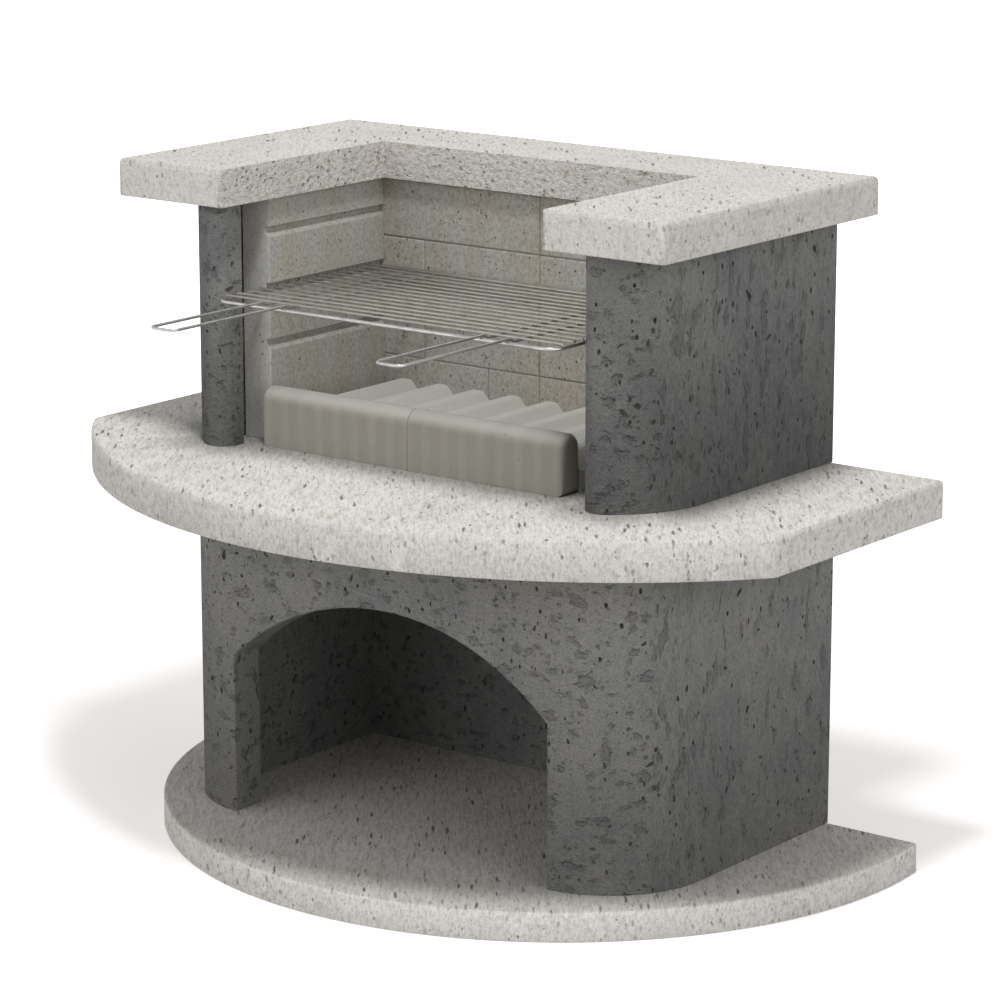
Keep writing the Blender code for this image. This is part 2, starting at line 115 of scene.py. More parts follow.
# Seeds of the random draws of each piece with air holes.
SEEDS = {
    "base_plate": 11,
    "table_plate": 12,
    "cap_plate": 13,
    "arch_front": 21,
    "lower_left_wall": 22,
    "lower_right_wall": 23,
    "lower_back_wall": 24,
    "left_cheek": 31,
    "right_cheek": 32,
    "upper_back_wall": 33,
    "left_lining": 41,
    "right_lining": 42,
    "back_brick_high_1": 50,
    "back_brick_high_2": 51,
    "back_brick_low_1": 52,
    "back_brick_low_2": 53,
    "back_brick_low_3": 54,
    "back_brick_middle_1": 55,
    "back_brick_middle_2": 56,
    "back_brick_middle_3": 57,
}

Place = Callable[[Vector, Vector], bool]
Box = tuple[tuple[float, float, float], tuple[float, float, float]]
Tone = tuple[float, float, float]
Step = tuple[float, float]


class Side(Enum):
    """The two sides of the object, by the sign of X."""

    LEFT = -1
    RIGHT = 1


class Layer(Enum):
    """The random patterns of a material, by how far each is moved, so that no two coincide."""

    PLAIN = 0.0
    GRAIN = 0.13
    MARK_PATCHES = 0.19
    DUST = 0.21
    BLOTCHES = 0.37
    SPECK_PATCHES = 0.4
    SMALL_MARKS = 0.51
    SAND = 0.71
    PITS = 0.83


def tone(red: float, green: float, blue: float) -> tuple[float, float, float, float]:
    """A shader colour from the three numbers, 0 to 255, that a colour picker shows.

    Args:
        red: Red on the screen.
        green: Green on the screen.
        blue: Blue on the screen.

    Returns:
        The colour as linear light, with full alpha.
    """
    shares = [channel / 255 for channel in (red, green, blue)]
    linear = [s / 12.92 if s <= 0.04045 else ((s + 0.055) / 1.055) ** 2.4 for s in shares]
    return (*linear, 1.0)


class Wiring:
    """A tree of shader nodes, which is filled node by node."""

    def __init__(self, tree: bpy.types.NodeTree) -> None:
        """Take over a tree."""
        self.tree = tree

    def node(self, kind: str, feeds: dict | None = None, **settings: object) -> bpy.types.Node:
        """Add a node.

        Args:
            kind: Blender's name of the node type.
            feeds: Values or sockets for the node's inputs, by name or number.
            settings: The node's own properties.

        Returns:
            The new node.
        """
        made = self.tree.nodes.new(kind)
        for key, value in settings.items():
            setattr(made, key, value)
        for key, value in (feeds or {}).items():
            self.feed(made.inputs[key], value)
        return made

    def feed(self, socket: bpy.types.NodeSocket, value: object) -> None:
        """Link a socket into an input, or set the input's own value.

        Args:
            socket: The input.
            value: A node's output, or a plain value.
        """
        if isinstance(value, bpy.types.NodeSocket):
            self.tree.links.new(value, socket)
        else:
            socket.default_value = value

    def maths(self, work: str, first: object, second: object) -> bpy.types.NodeSocket:
        """Join two values by one sum."""
        return self.node("ShaderNodeMath", {0: first, 1: second}, operation=work).outputs[0]

    def times(self, first: object, second: object) -> bpy.types.NodeSocket:
        """Multiply two values."""
        return self.maths("MULTIPLY", first, second)

    def length(self, vector: object) -> bpy.types.NodeSocket:
        """Length of a vector."""
        return self.node("ShaderNodeVectorMath", {0: vector}, operation="LENGTH").outputs["Value"]

    def shown_rays(self) -> bpy.types.NodeSocket:
        """Pick the rays that show the background, in a mirror or through glass too.

        Returns:
            1 for these rays and 0 for others.
        """
        path = self.node("ShaderNodeLightPath").outputs
        seen = self.maths("MAXIMUM", path["Is Camera Ray"], path["Is Glossy Ray"])
        return self.maths("MAXIMUM", seen, path["Is Transmission Ray"])


class Recipe(Wiring):
    """A material being made: one Principled shader, fed by patterns on Object coordinates."""

    def __init__(self, name: str) -> None:
        """Start a material.

        Args:
            name: Name of the material.
        """
        self.material = bpy.data.materials.new(name)
        self.material.use_nodes = True
        super().__init__(self.material.node_tree)
        self.shader = self.tree.nodes["Principled BSDF"]
        self.place = self.node("ShaderNodeTexCoord").outputs["Object"]

    def stretched(
        self, stretch: Sequence[float], layer: Layer = Layer.PLAIN, turn: float = 0.0
    ) -> bpy.types.NodeSocket:
        """Object coordinates drawn out along the axes.

        Args:
            stretch: How long the pattern is along X, Y and Z against its usual size.
            layer: Which pattern it is, and so how far it is moved.
            turn: Angle that the pattern is turned about Z.

        Returns:
            The coordinates.
        """
        feeds = {
            "Vector": self.place,
            "Location": (layer.value,) * 3,
            "Rotation": (0.0, 0.0, turn),
            "Scale": tuple(stretch),
        }
        return self.node("ShaderNodeMapping", feeds, vector_type="TEXTURE").outputs["Vector"]

    def ruffled(self, size: float, reach: float) -> None:
        """Bend all later patterns by a fine noise, so that their grains come out ragged.

        Args:
            size: Size of the bends in metres.
            reach: How far a pattern is pushed in metres.
        """
        feeds = {"Vector": self.place, "Scale": 1 / size, "Detail": 2.0}
        bends = self.node("ShaderNodeTexNoise", feeds).outputs["Color"]
        feeds = {0: bends, 1: (reach,) * 3, 2: (-reach / 2,) * 3}
        pushed = self.node("ShaderNodeVectorMath", feeds, operation="MULTIPLY_ADD").outputs[0]
        self.place = self.vectors("ADD", self.place, pushed)

    def part_of(self, coordinates: str, axis: str) -> bpy.types.NodeSocket:
        """One axis of the plain object coordinates or of the normal."""
        whole = self.node("ShaderNodeTexCoord").outputs[coordinates]
        return self.node("ShaderNodeSeparateXYZ", {0: whole}).outputs[axis]

    def height(self, low: float, high: float) -> bpy.types.NodeSocket:
        """0 at one height above the ground and 1 at another."""
        return self.between(self.part_of("Object", "Z"), low, high)

    def beyond(self, distance: float) -> bpy.types.NodeSocket:
        """1 where a point is farther than this to the left or right, and 0 nearer."""
        away = self.maths("ABSOLUTE", self.part_of("Object", "X"), 0.0)
        return self.maths("GREATER_THAN", away, distance)

    def upward(self, low: float, high: float) -> bpy.types.NodeSocket:
        """A smooth step on how far a face looks up."""
        return self.between(self.part_of("Normal", "Z"), low, high)

    def cloud(
        self,
        size: float,
        detail: float = 3.0,
        stretch: Sequence[float] = (1, 1, 1),
        layer: Layer = Layer.PLAIN,
        rough: float = 0.55,
    ) -> bpy.types.NodeSocket:
        """A soft random pattern.

        Args:
            size: Size of its blotches in metres.
            detail: Number of finer octaves.
            stretch: How long the blotches are along X, Y and Z.
            layer: Which pattern it is.
            rough: Weight of the finer octaves.

        Returns:
            A value from 0 to 1.
        """
        feeds = {
            "Vector": self.stretched(stretch, layer),
            "Scale": 1 / size,
            "Detail": detail,
            "Roughness": rough,
        }
        return self.node("ShaderNodeTexNoise", feeds).outputs["Fac"]

    def specks(
        self, pitch: float, radius_share: float, kept_share: float, layer: Layer = Layer.PLAIN
    ) -> bpy.types.NodeSocket:
        """Round grains, of which only a random share shows.

        Args:
            pitch: Mean distance between grains in metres.
            radius_share: Radius of a grain as a share of the pitch.
            kept_share: Share of the grains that shows.
            layer: Which pattern it is.

        Returns:
            1 within a grain and 0 between them, with a soft rim.
        """
        feeds = {"Vector": self.stretched((1, 1, 1), layer), "Scale": 1 / pitch}
        cells = self.node("ShaderNodeTexVoronoi", feeds)
        full = radius_share * FULL_GRAIN
        grain = self.between(cells.outputs["Distance"], radius_share, full)
        luck = self.node("ShaderNodeSeparateColor", {"Color": cells.outputs["Color"]})
        kept = self.between(luck.outputs[0], kept_share, kept_share * SURE_LUCK)
        return self.times(grain, kept)

    def between(self, value: object, low: float, high: float) -> bpy.types.NodeSocket:
        """A smooth step.

        Args:
            value: What the step follows.
            low: The value at which it is 0.
            high: The value at which it is 1.

        Returns:
            The step.
        """
        feeds = {"Value": value, "From Min": low, "From Max": high}
        node = self.node("ShaderNodeMapRange", feeds, interpolation_type="SMOOTHSTEP")
        return node.outputs["Result"]

    def vectors(self, work: str, first: object, second: object) -> bpy.types.NodeSocket:
        """Join two vectors by one sum."""
        feeds = {0: first, 1: second}
        return self.node("ShaderNodeVectorMath", feeds, operation=work).outputs["Vector"]

    def blend(self, share: object, first: object, second: object) -> bpy.types.NodeSocket:
        """Mix two colours: all first at share 0, all second at share 1."""
        feeds = {0: share, **dict(zip(COLOURS_IN, (first, second)))}
        return self.node("ShaderNodeMix", feeds, data_type="RGBA").outputs[COLOUR_OUT]

    def tinted(
        self, colour: object, where: object, share: float, tint: Sequence[float]
    ) -> bpy.types.NodeSocket:
        """Mix a part of a tint into a colour where a pattern says so.

        Args:
            colour: The colour so far.
            where: The pattern, from 0 to 1.
            share: How much of the tint there is where the pattern is 1.
            tint: The tint, as a shader colour.

        Returns:
            The new colour.
        """
        return self.blend(self.times(where, share), colour, tint)

    def relief(self, height: object, depth: float) -> bpy.types.NodeSocket:
        """Turn a height from 0 to 1 into a bumped normal, where 1 stands for the depth."""
        feeds = {"Height": height, "Distance": depth, "Strength": 1.0}
        return self.node("ShaderNodeBump", feeds).outputs["Normal"]

    def done(
        self, colour: object, roughness: object, normal: object, metal_share: float = 0.0
    ) -> bpy.types.Material:
        """Feed the shader and hand over the material.

        Args:
            colour: Its colour.
            roughness: Its roughness.
            normal: Its bumped normal.
            metal_share: How far it is a metal. Stone gets a dull sheen instead.

        Returns:
            The material.
        """
        if metal_share:
            self.shader.inputs["Metallic"].default_value = metal_share
        else:
            self.shader.inputs["Specular IOR Level"].default_value = STONE_SHEEN
        self.feed(self.shader.inputs["Base Color"], colour)
        self.feed(self.shader.inputs["Roughness"], roughness)
        self.feed(self.shader.inputs["Normal"], normal)
        return self.material


@dataclass(frozen=True)
class CastConcrete:
    """Cast concrete: a body colour with clouds, blotches, dark marks in clusters and fine sand.

    Each step holds the two values of a pattern at which it begins and is full. The foot, rim, level
    and standing shades are painted shade: they darken the foot of a wall, the rounded rims, the
    level faces and the faces close to what stands on a piece. The side shade darkens the side
    faces. The pit shade is partly dirt and partly painted shade in the bumped pits.
    """

    name: str
    body: Tone
    cloud: Tone
    blotch: Tone
    mark: Tone
    grain: tuple[float, float, float]
    turn: float = 0.0
    cloud_size: float = 0.075
    cloud_octaves: float = 4
    cloud_stretch: tuple[float, float, float] = (1, 1, 1.6)
    cloud_step: Step = (0.34, 0.68)
    blotch_size: float = 0.0055
    blotch_share: float = 0.8
    blotch_step: Step = (0.42, 0.66)
    mark_pitch: float = 0.0085
    mark_radius: float = 0.30
    mark_share: float = 0.8
    mark_ruffle: Step = (0.5, 0.55)
    kept_share: float = 0.62
    small_marks: float = 0.5
    small_kept: float = 0.8
    small_weight: float = 0.7
    patch_size: float = 4
    patch_octaves: float = 2
    patch_step: Step = (0.30, 0.62)
    sand_size: float = 0.0016
    sand_octaves: float = 2
    sand_share: float = 0.35
    sand_step: Step = (0.42, 0.72)
    relief_depth: float = 0.0006
    sand_relief: float = 0.5
    mark_relief: float = 0.8
    least_roughness: float = 0.80
    more_roughness: float = 0.15
    # Bumped pits; the pit shade darkens them, partly dirt and partly painted shade in the hollows.
    pit_size: float = 0.0
    pit_depth: float = 0.0
    pit_shade: float = 0.25
    pit_rough: float = 0.5
    pit_step: Step = (0.56, 0.70)
    # Painted shade: the colour darkens towards the foot, over foot_reach above it.
    foot: float = -1.0
    foot_reach: float = 0.35
    foot_shade: float = 0.0
    # Painted shade on the rounded rims, where a top turns into a side.
    rim_shade: float = 0.0
    rim_from: Step = (0.1, 0.5)
    rim_to: Step = (0.995, 0.93)
    # Painted shade on the level faces.
    level_shade: float = 0.0
    level_step: Step = (0.6, 0.95)
    upright_marks: float = 1.0
    # Painted contact shade on the faces close to these boxes of what stands on the piece.
    standing: tuple[Box, ...] = ()
    standing_reach: float = 0.095
    standing_shade: float = 0.5
    side_from: float = 0.0
    side_grain: tuple[float, float, float] = (1.0, 1.0, 1.0)
    side_shade: float = 0.0

    def material(self) -> bpy.types.Material:
        """Build the material.

        Returns:
            The material.
        """
        recipe = Recipe(self.name)
        stain = recipe.cloud(self.cloud_size, self.cloud_octaves, self.cloud_stretch)
        clouds = recipe.between(stain, *self.cloud_step)
        colour = recipe.blend(clouds, tone(*self.body), tone(*self.cloud))
        colour = self.grained(recipe, colour)
        blotches = recipe.cloud(self.blotch_size, layer=Layer.BLOTCHES)
        where = recipe.between(blotches, *self.blotch_step)
        colour = recipe.tinted(colour, where, self.blotch_share, tone(*self.blotch))
        sand = recipe.cloud(self.sand_size, self.sand_octaves, layer=Layer.SAND)
        where = recipe.between(sand, *self.sand_step)
        colour = recipe.tinted(colour, where, self.sand_share, tone(*self.mark))
        recipe.ruffled(*(share * self.mark_pitch for share in self.mark_ruffle))
        marks = self.marks(recipe)
        level = recipe.upward(*self.level_step)
        share = recipe.times(marks, self.mark_share)
        if self.upright_marks < 1:
            feeds = {"Value": level, "To Min": self.upright_marks, "To Max": 1.0}
            share = recipe.times(share, recipe.node("ShaderNodeMapRange", feeds).outputs["Result"])
        colour = recipe.blend(share, colour, tone(*self.mark))
        colour = self.shaded(recipe, colour, level)
        height = recipe.maths("ADD", blotches, recipe.times(sand, self.sand_relief))
        # Pits, whose darker colour is partly dirt and partly painted shade in the hollows.
        if self.pit_size:
            pits = recipe.cloud(self.pit_size, layer=Layer.PITS, rough=self.pit_rough)
            pits = recipe.between(pits, *self.pit_step)
            colour = recipe.tinted(colour, pits, self.pit_shade, tone(*self.mark))
            deep = recipe.times(pits, self.pit_depth / self.relief_depth)
            height = recipe.maths("SUBTRACT", height, deep)
        height = recipe.maths("SUBTRACT", height, recipe.times(marks, self.mark_relief))
        more = recipe.times(blotches, self.more_roughness)
        rough = recipe.maths("ADD", more, self.least_roughness)
        return recipe.done(colour, rough, recipe.relief(height, self.relief_depth))

    def grained(self, recipe: Recipe, colour: bpy.types.NodeSocket) -> bpy.types.NodeSocket:
        """Draw all later patterns out along the grain, with another grain and tone at the sides.

        Args:
            recipe: The material under construction.
            colour: The colour so far.

        Returns:
            The new colour.
        """
        if not self.side_from:
            recipe.place = recipe.stretched(self.grain, turn=self.turn)
            return colour
        beyond = recipe.beyond(self.side_from)
        colour = recipe.tinted(colour, beyond, self.side_shade, BLACK)
        grains = recipe.stretched(self.grain), recipe.stretched(self.side_grain)
        feeds = {0: beyond, **dict(zip(VECTORS_IN, grains))}
        recipe.place = recipe.node("ShaderNodeMix", feeds, data_type="VECTOR").outputs[VECTOR_OUT]
        return colour

    def shaded(
        self, recipe: Recipe, colour: bpy.types.NodeSocket, level: bpy.types.NodeSocket
    ) -> bpy.types.NodeSocket:
        """Paint shade into the colour next to what stands on it, on level faces, on rims and at the
        foot.

        Args:
            recipe: The material under construction.
            colour: The colour so far.
            level: 1 on level faces and 0 on others.

        Returns:
            The new colour.
        """
        # Painted contact shade close to what stands on the piece.
        if self.standing:
            colour = recipe.tinted(colour, self.contact_shade_mask(recipe), self.standing_shade, BLACK)
        # Painted shade on the level faces.
        if self.level_shade:
            colour = recipe.tinted(colour, level, self.level_shade, BLACK)
        # Painted shade on the rounded rims.
        if self.rim_shade:
            rim = recipe.times(recipe.upward(*self.rim_from), recipe.upward(*self.rim_to))
            colour = recipe.tinted(colour, rim, self.rim_shade, BLACK)
        # Painted shade, darker towards the foot of the piece.
        if self.foot_shade:
            low = recipe.height(self.foot + self.foot_reach, self.foot)
            colour = recipe.tinted(colour, low, self.foot_shade, BLACK)
        return colour

    def contact_shade_mask(self, recipe: Recipe) -> bpy.types.NodeSocket:
        """Painted contact shade: 1 right beside what stands on the piece, 0 out of its reach.

        Args:
            recipe: The material under construction.

        Returns:
            The value.
        """
        place = recipe.node("ShaderNodeTexCoord").outputs["Object"]
        nearest = None
        for low, high in self.standing:
            before = recipe.vectors("SUBTRACT", low, place)
            past = recipe.vectors("SUBTRACT", place, high)
            out = recipe.vectors("MAXIMUM", recipe.vectors("MAXIMUM", before, past), (0, 0, 0))
            away = recipe.length(out)
            nearest = recipe.maths("MINIMUM", nearest, away) if nearest else away
        return recipe.between(nearest, self.standing_reach, 0.0)

    def marks(self, recipe: Recipe) -> bpy.types.NodeSocket:
        """Large and small dark marks, thick in some patches and thin in others.

        Args:
            recipe: The material under construction.

        Returns:
            1 in a mark and 0 between them.
        """
        size = self.mark_pitch * self.patch_size
        patches = recipe.cloud(size, self.patch_octaves, layer=Layer.MARK_PATCHES)
        often = recipe.between(patches, *self.patch_step)
        large = recipe.specks(self.mark_pitch, self.mark_radius, self.kept_share)
        small = recipe.specks(
            self.mark_pitch * self.small_marks,
            self.mark_radius,
            self.kept_share * self.small_kept,
            Layer.SMALL_MARKS,
        )
        both = recipe.maths("MAXIMUM", large, recipe.times(small, self.small_weight))
        return recipe.times(both, often)


@dataclass(frozen=True)
class Firebrick:
    """Fired lining brick: sandy, with upright tone bands, warm clouds and dark pinholes."""

    name: str
    body: Tone
    warm: Tone
    speck: Tone
    octaves: float = 4
    cloud_size: float = 0.045
    cloud_stretch: tuple[float, float, float] = (1, 1, 4.0)
    cloud_step: Step = (0.36, 0.66)
    dust_size: float = 0.0042
    dust_stretch: tuple[float, float, float] = (1, 1, 1.3)
    dust_weight: float = 0.65
    dust_step: Step = (0.36, 0.72)
    dust_share: float = 0.42
    ruffle: float = 0.003
    patch_size: float = 0.030
    patch_octaves: float = 2
    patch_step: Step = (0.35, 0.62)
    speck_pitch: float = 0.0062
    speck_radius: float = 0.28
    speck_share: float = 0.8
    kept_share: float = 0.62
    relief_depth: float = 0.0004
    roughness: float = 0.92
    # Painted light: faces that look to the front are lightened towards white by this share.
    painted_front_light: float = 0.0
    painted_front_step: Step = (-0.2, -0.8)

    def material(self) -> bpy.types.Material:
        """Build the material.

        Returns:
            The material.
        """
        recipe = Recipe(self.name)
        clouds = recipe.cloud(self.cloud_size, self.octaves, self.cloud_stretch)
        clouds = recipe.between(clouds, *self.cloud_step)
        colour = recipe.blend(clouds, tone(*self.body), tone(*self.warm))
        fine = recipe.cloud(
            self.dust_size, self.octaves, self.dust_stretch, Layer.DUST, self.dust_weight
        )
        dust = recipe.between(fine, *self.dust_step)
        colour = recipe.tinted(colour, dust, self.dust_share, tone(*self.speck))
        recipe.ruffled(self.ruffle, self.ruffle)
        patches = recipe.cloud(self.patch_size, self.patch_octaves, layer=Layer.SPECK_PATCHES)
        specks = recipe.specks(self.speck_pitch, self.speck_radius, self.kept_share)
        specks = recipe.times(specks, recipe.between(patches, *self.patch_step))
        colour = recipe.tinted(colour, specks, self.speck_share, tone(*self.speck))
        # Painted light on the faces that look to the front.
        if self.painted_front_light:
            end = recipe.between(recipe.part_of("Normal", "Y"), *self.painted_front_step)
            colour = recipe.tinted(colour, end, self.painted_front_light, WHITE)
        height = recipe.maths("SUBTRACT", fine, specks)
        return recipe.done(colour, self.roughness, recipe.relief(height, self.relief_depth))


@dataclass(frozen=True)
class FiredClay:
    """Pressed and fired clay of the hearth set: smooth, faintly banded, with tops painted lighter.
    """

    name: str
    body: Tone
    pale: Tone
    # Painted light: the colour of the faces that look up.
    painted_top_light: Tone
    band_pitch: float = 0.030
    band_share: float = 0.5
    band_step: Step = (0.25, 0.95)
    band_bend: float = 1.2
    band_detail: float = 2.0
    band_detail_scale: float = 8.0
    wander_size: float = 0.025
    wander_stretch: tuple[float, float, float] = (1, 1, 3)
    painted_top_step: Step = (0.1, 0.8)
    grain_size: float = 0.0020
    speck_pitch: float = 0.011
    speck_radius: float = 0.13
    speck_share: float = 0.6
    speck_shade: float = 0.62
    kept_share: float = 0.35
    relief_depth: float = 0.00018
    roughness: float = 0.88

    def material(self) -> bpy.types.Material:
        """Build the material.

        Returns:
            The material.
        """
        recipe = Recipe(self.name)
        wander = recipe.cloud(self.wander_size, stretch=self.wander_stretch)
        feeds = {
            "Vector": recipe.place,
            "Scale": WAVE_LENGTH / self.band_pitch,
            "Distortion": self.band_bend,
            "Detail": self.band_detail,
            "Detail Scale": self.band_detail_scale,
        }
        waves = recipe.node("ShaderNodeTexWave", feeds, bands_direction="X").outputs["Fac"]
        bands = recipe.times(recipe.between(waves, *self.band_step), wander)
        colour = recipe.tinted(tone(*self.body), bands, self.band_share, tone(*self.pale))
        # Painted light: faces that look up are lighter.
        colour = recipe.blend(recipe.upward(*self.painted_top_step), colour, tone(*self.painted_top_light))
        fine = recipe.cloud(self.grain_size, layer=Layer.GRAIN)
        specks = recipe.specks(self.speck_pitch, self.speck_radius, self.kept_share)
        dark = tuple(self.speck_shade * channel for channel in self.body)
        colour = recipe.tinted(colour, specks, self.speck_share, tone(*dark))
        height = recipe.maths("SUBTRACT", fine, specks)
        return recipe.done(colour, self.roughness, recipe.relief(height, self.relief_depth))


@dataclass(frozen=True)
class AirHoleWall:
    """Inside of the air holes: darker, partly from dirt and partly painted shade."""

    name: str
    body: Tone
    deep: Tone
    patch_size: float = 0.012
    patch_step: Step = (0.35, 0.65)
    grain_size: float = 0.0012
    relief_depth: float = 0.0003
    roughness: float = 0.95

    def material(self) -> bpy.types.Material:
        """Build the material.

        Returns:
            The material.
        """
        recipe = Recipe(self.name)
        patches = recipe.between(recipe.cloud(self.patch_size), *self.patch_step)
        colour = recipe.blend(patches, tone(*self.body), tone(*self.deep))
        normal = recipe.relief(recipe.cloud(self.grain_size), self.relief_depth)
        return recipe.done(colour, self.roughness, normal)


@dataclass(frozen=True)
class ChromedWire:
    """Chromed steel wire, bright, with faint drawing marks and handling haze."""

    name: str
    body: Tone
    haze: Tone
    least_roughness: float
    metal_share: float
    haze_size: float = 0.018
    haze_octaves: float = 4
    haze_step: Step = (0.40, 0.72)
    haze_roughness: float = 0.16
    mark_size: float = 0.0009
    mark_octaves: float = 2
    mark_stretch: tuple[float, float, float] = (6, 1, 1)
    mark_depth: float = 0.00003

    def material(self) -> bpy.types.Material:
        """Build the material.

        Returns:
            The material.
        """
        recipe = Recipe(self.name)
        film = recipe.between(recipe.cloud(self.haze_size, self.haze_octaves), *self.haze_step)
        colour = recipe.blend(film, tone(*self.body), tone(*self.haze))
        rough = recipe.maths("ADD", recipe.times(film, self.haze_roughness), self.least_roughness)
        marks = recipe.cloud(self.mark_size, self.mark_octaves, self.mark_stretch)
        normal = recipe.relief(marks, self.mark_depth)
        return recipe.done(colour, rough, normal, self.metal_share)


PALE_CONCRETE = CastConcrete(
    "pale_cast_concrete",
    body=(226, 223, 218),
    cloud=(219, 216, 210),
    blotch=(196, 192, 185),
    mark=(118, 113, 105),
    grain=(1.0, 6.2, 2.0),
    turn=math.radians(37.6),
    blotch_size=0.0040,
    blotch_share=0.60,
    mark_share=0.95,
    kept_share=0.72,
    sand_share=0.24,
    # Painted shade on the rounded rims.
    rim_shade=0.19,
    upright_marks=0.62,
)
# The table's copy is lighter than the cap's, painted light; its level shade is painted shade.
TABLE_CONCRETE = replace(
    PALE_CONCRETE,
    name="pale_concrete_between",
    body=(236, 233, 228),
    cloud=(230, 227, 221),
    level_shade=0.03,
)
# The base's copy is lighter than the cap's, painted light; its level shade darkens its top, the
# painted shadow of the table above.
BASE_CONCRETE = replace(
    PALE_CONCRETE,
    name="pale_concrete_below",
    body=(238, 235, 230),
    cloud=(232, 229, 223),
    level_shade=0.24,
)
ROUGH_CONCRETE = CastConcrete(
    "rough_cast_concrete",
    body=(216, 212, 207),
    cloud=(209, 205, 200),
    blotch=(178, 174, 167),
    mark=(140, 135, 127),
    grain=(1.3, 1.3, 1.0),
    blotch_share=0.7,
    blotch_size=0.0062,
    relief_depth=0.0036,
)
# The lower walls' dyed concrete, lighter than the upper walls' copy: painted light. Its foot shade
# is painted shade, darker towards the foot.
LOWER_CONCRETE = CastConcrete(
    "dyed_concrete_below",
    body=(154, 153, 149),
    cloud=(138, 139, 139),
    blotch=(164, 161, 154),
    mark=(68, 68, 67),
    grain=(1.4, 1.0, 0.9),
    cloud_size=0.11,
    blotch_size=0.0080,
    blotch_share=0.40,
    mark_pitch=0.0115,
    mark_share=0.60,
    kept_share=0.5,
    sand_size=0.0022,
    sand_share=0.40,
    relief_depth=0.0017,
    pit_size=0.018,
    pit_depth=0.0036,
    foot=0.04,
    foot_reach=0.42,
    foot_shade=0.46,
    side_from=0.377,
    side_grain=(1.0, 1.0, 2.6),
    side_shade=0.06,
)
# The upper walls' copy of the dyed concrete, darker than the lower walls': painted shade, with its
# own painted shade towards the foot.
UPPER_CONCRETE = replace(
    LOWER_CONCRETE,
    name="dyed_concrete_above",
    body=(138, 138, 136),
    cloud=(124, 125, 126),
    blotch=(148, 147, 142),
    foot=0.535,
    foot_reach=0.33,
    foot_shade=0.52,
    side_shade=0.0,
)
# The walls of the air holes, darker than the faces they open in: partly dirt and partly painted
# shade.
PALE_HOLES = AirHoleWall("pale_air_holes", body=(196, 190, 180), deep=(166, 159, 148))
DARK_HOLES = AirHoleWall("dark_air_holes", body=(84, 83, 80), deep=(66, 65, 62))
BRICK_HOLES = AirHoleWall("brick_pinholes", body=(130, 125, 114), deep=(104, 99, 90))
LINING_BRICK = Firebrick(
    "firebrick", body=(172, 171, 165), warm=(170, 165, 153), speck=(94, 94, 91)
)
# The side slabs' copy: fewer specks, and painted light on the faces that look to the front.
SLAB_BRICK = replace(LINING_BRICK, name="firebrick_slab", kept_share=0.42, painted_front_light=0.19)
# The ember bars' clay, whose tops are painted lighter as painted light.
HEARTH_CLAY = FiredClay(
    "fired_clay", body=(141, 138, 130), pale=(160, 157, 149), painted_top_light=(172, 170, 163)
)
# The fire bed's copy of the clay, lighter all over: painted light.
BED_CLAY = FiredClay(
    "fire_bed_clay", body=(172, 170, 164), pale=(180, 178, 172), painted_top_light=(196, 194, 189)
)
CHROME = ChromedWire(
    "chromed_wire",
    body=(174, 173, 172),
    haze=(150, 148, 144),
    least_roughness=0.28,
    metal_share=0.88,
)
DULL_CHROME = ChromedWire(
    "fire_dulled_wire",
    body=(158, 155, 148),
    haze=(145, 142, 135),
    least_roughness=0.42,
    metal_share=0.74,
)


def verts_in(geom: Iterable[object]) -> list[bmesh.types.BMVert]:
    """The vertices among what an operator gives back."""
    return [item for item in geom if isinstance(item, bmesh.types.BMVert)]


def edges_in(geom: Iterable[object]) -> list[bmesh.types.BMEdge]:
    """The edges among what an operator gives back."""
    return [item for item in geom if isinstance(item, bmesh.types.BMEdge)]


class Contour:
    """A closed outline in one plane: straight runs, and arcs spun from its last point."""

    def __init__(self, start: Sequence[float], axis: Sequence[float] = (0, 0, 1)) -> None:
        """Start an outline.

        Args:
            start: First point.
            axis: Direction square to the outline's plane, which arcs turn about.
        """
        self.bm = bmesh.new()
        self.axis = Vector(axis)
        self.first = self.tip = self.bm.verts.new(start)

    def line(self, *points: Sequence[float]) -> "Contour":
        """Run straight to each point in turn.

        Args:
            points: The points.

        Returns:
            The same outline.
        """
        for point in points:
            self.tip = bmesh.ops.extrude_vert_indiv(self.bm, verts=[self.tip])["verts"][0]
            self.tip.co = point
        return self

    def arc(self, centre: Sequence[float], degrees: float, steps: int) -> "Contour":
        """Turn about a centre.

        Args:
            centre: Centre of the arc.
            degrees: Angle, counter-clockwise about the axis.
            steps: Number of facets.

        Returns:
            The same outline.
        """
        drawn = bmesh.ops.spin(
            self.bm,
            geom=[self.tip],
            cent=centre,
            axis=self.axis,
            angle=math.radians(degrees),
            steps=steps,
            use_merge=False,
        )
        self.tip = verts_in(drawn["geom_last"])[0]
        return self

    def drawn_out(self, along: Sequence[float]) -> bmesh.types.BMesh:
        """Close and fill the outline, and draw it out into a solid.

        Args:
            along: Where to, as a vector.

        Returns:
            The solid.
        """
        if (self.tip.co - self.first.co).length > TOUCH:
            self.bm.edges.new((self.tip, self.first))
        bmesh.ops.remove_doubles(self.bm, verts=self.bm.verts[:], dist=TOUCH)
        bmesh.ops.edgeloop_fill(self.bm, edges=self.bm.edges[:])
        return draw_out(self.bm, along)


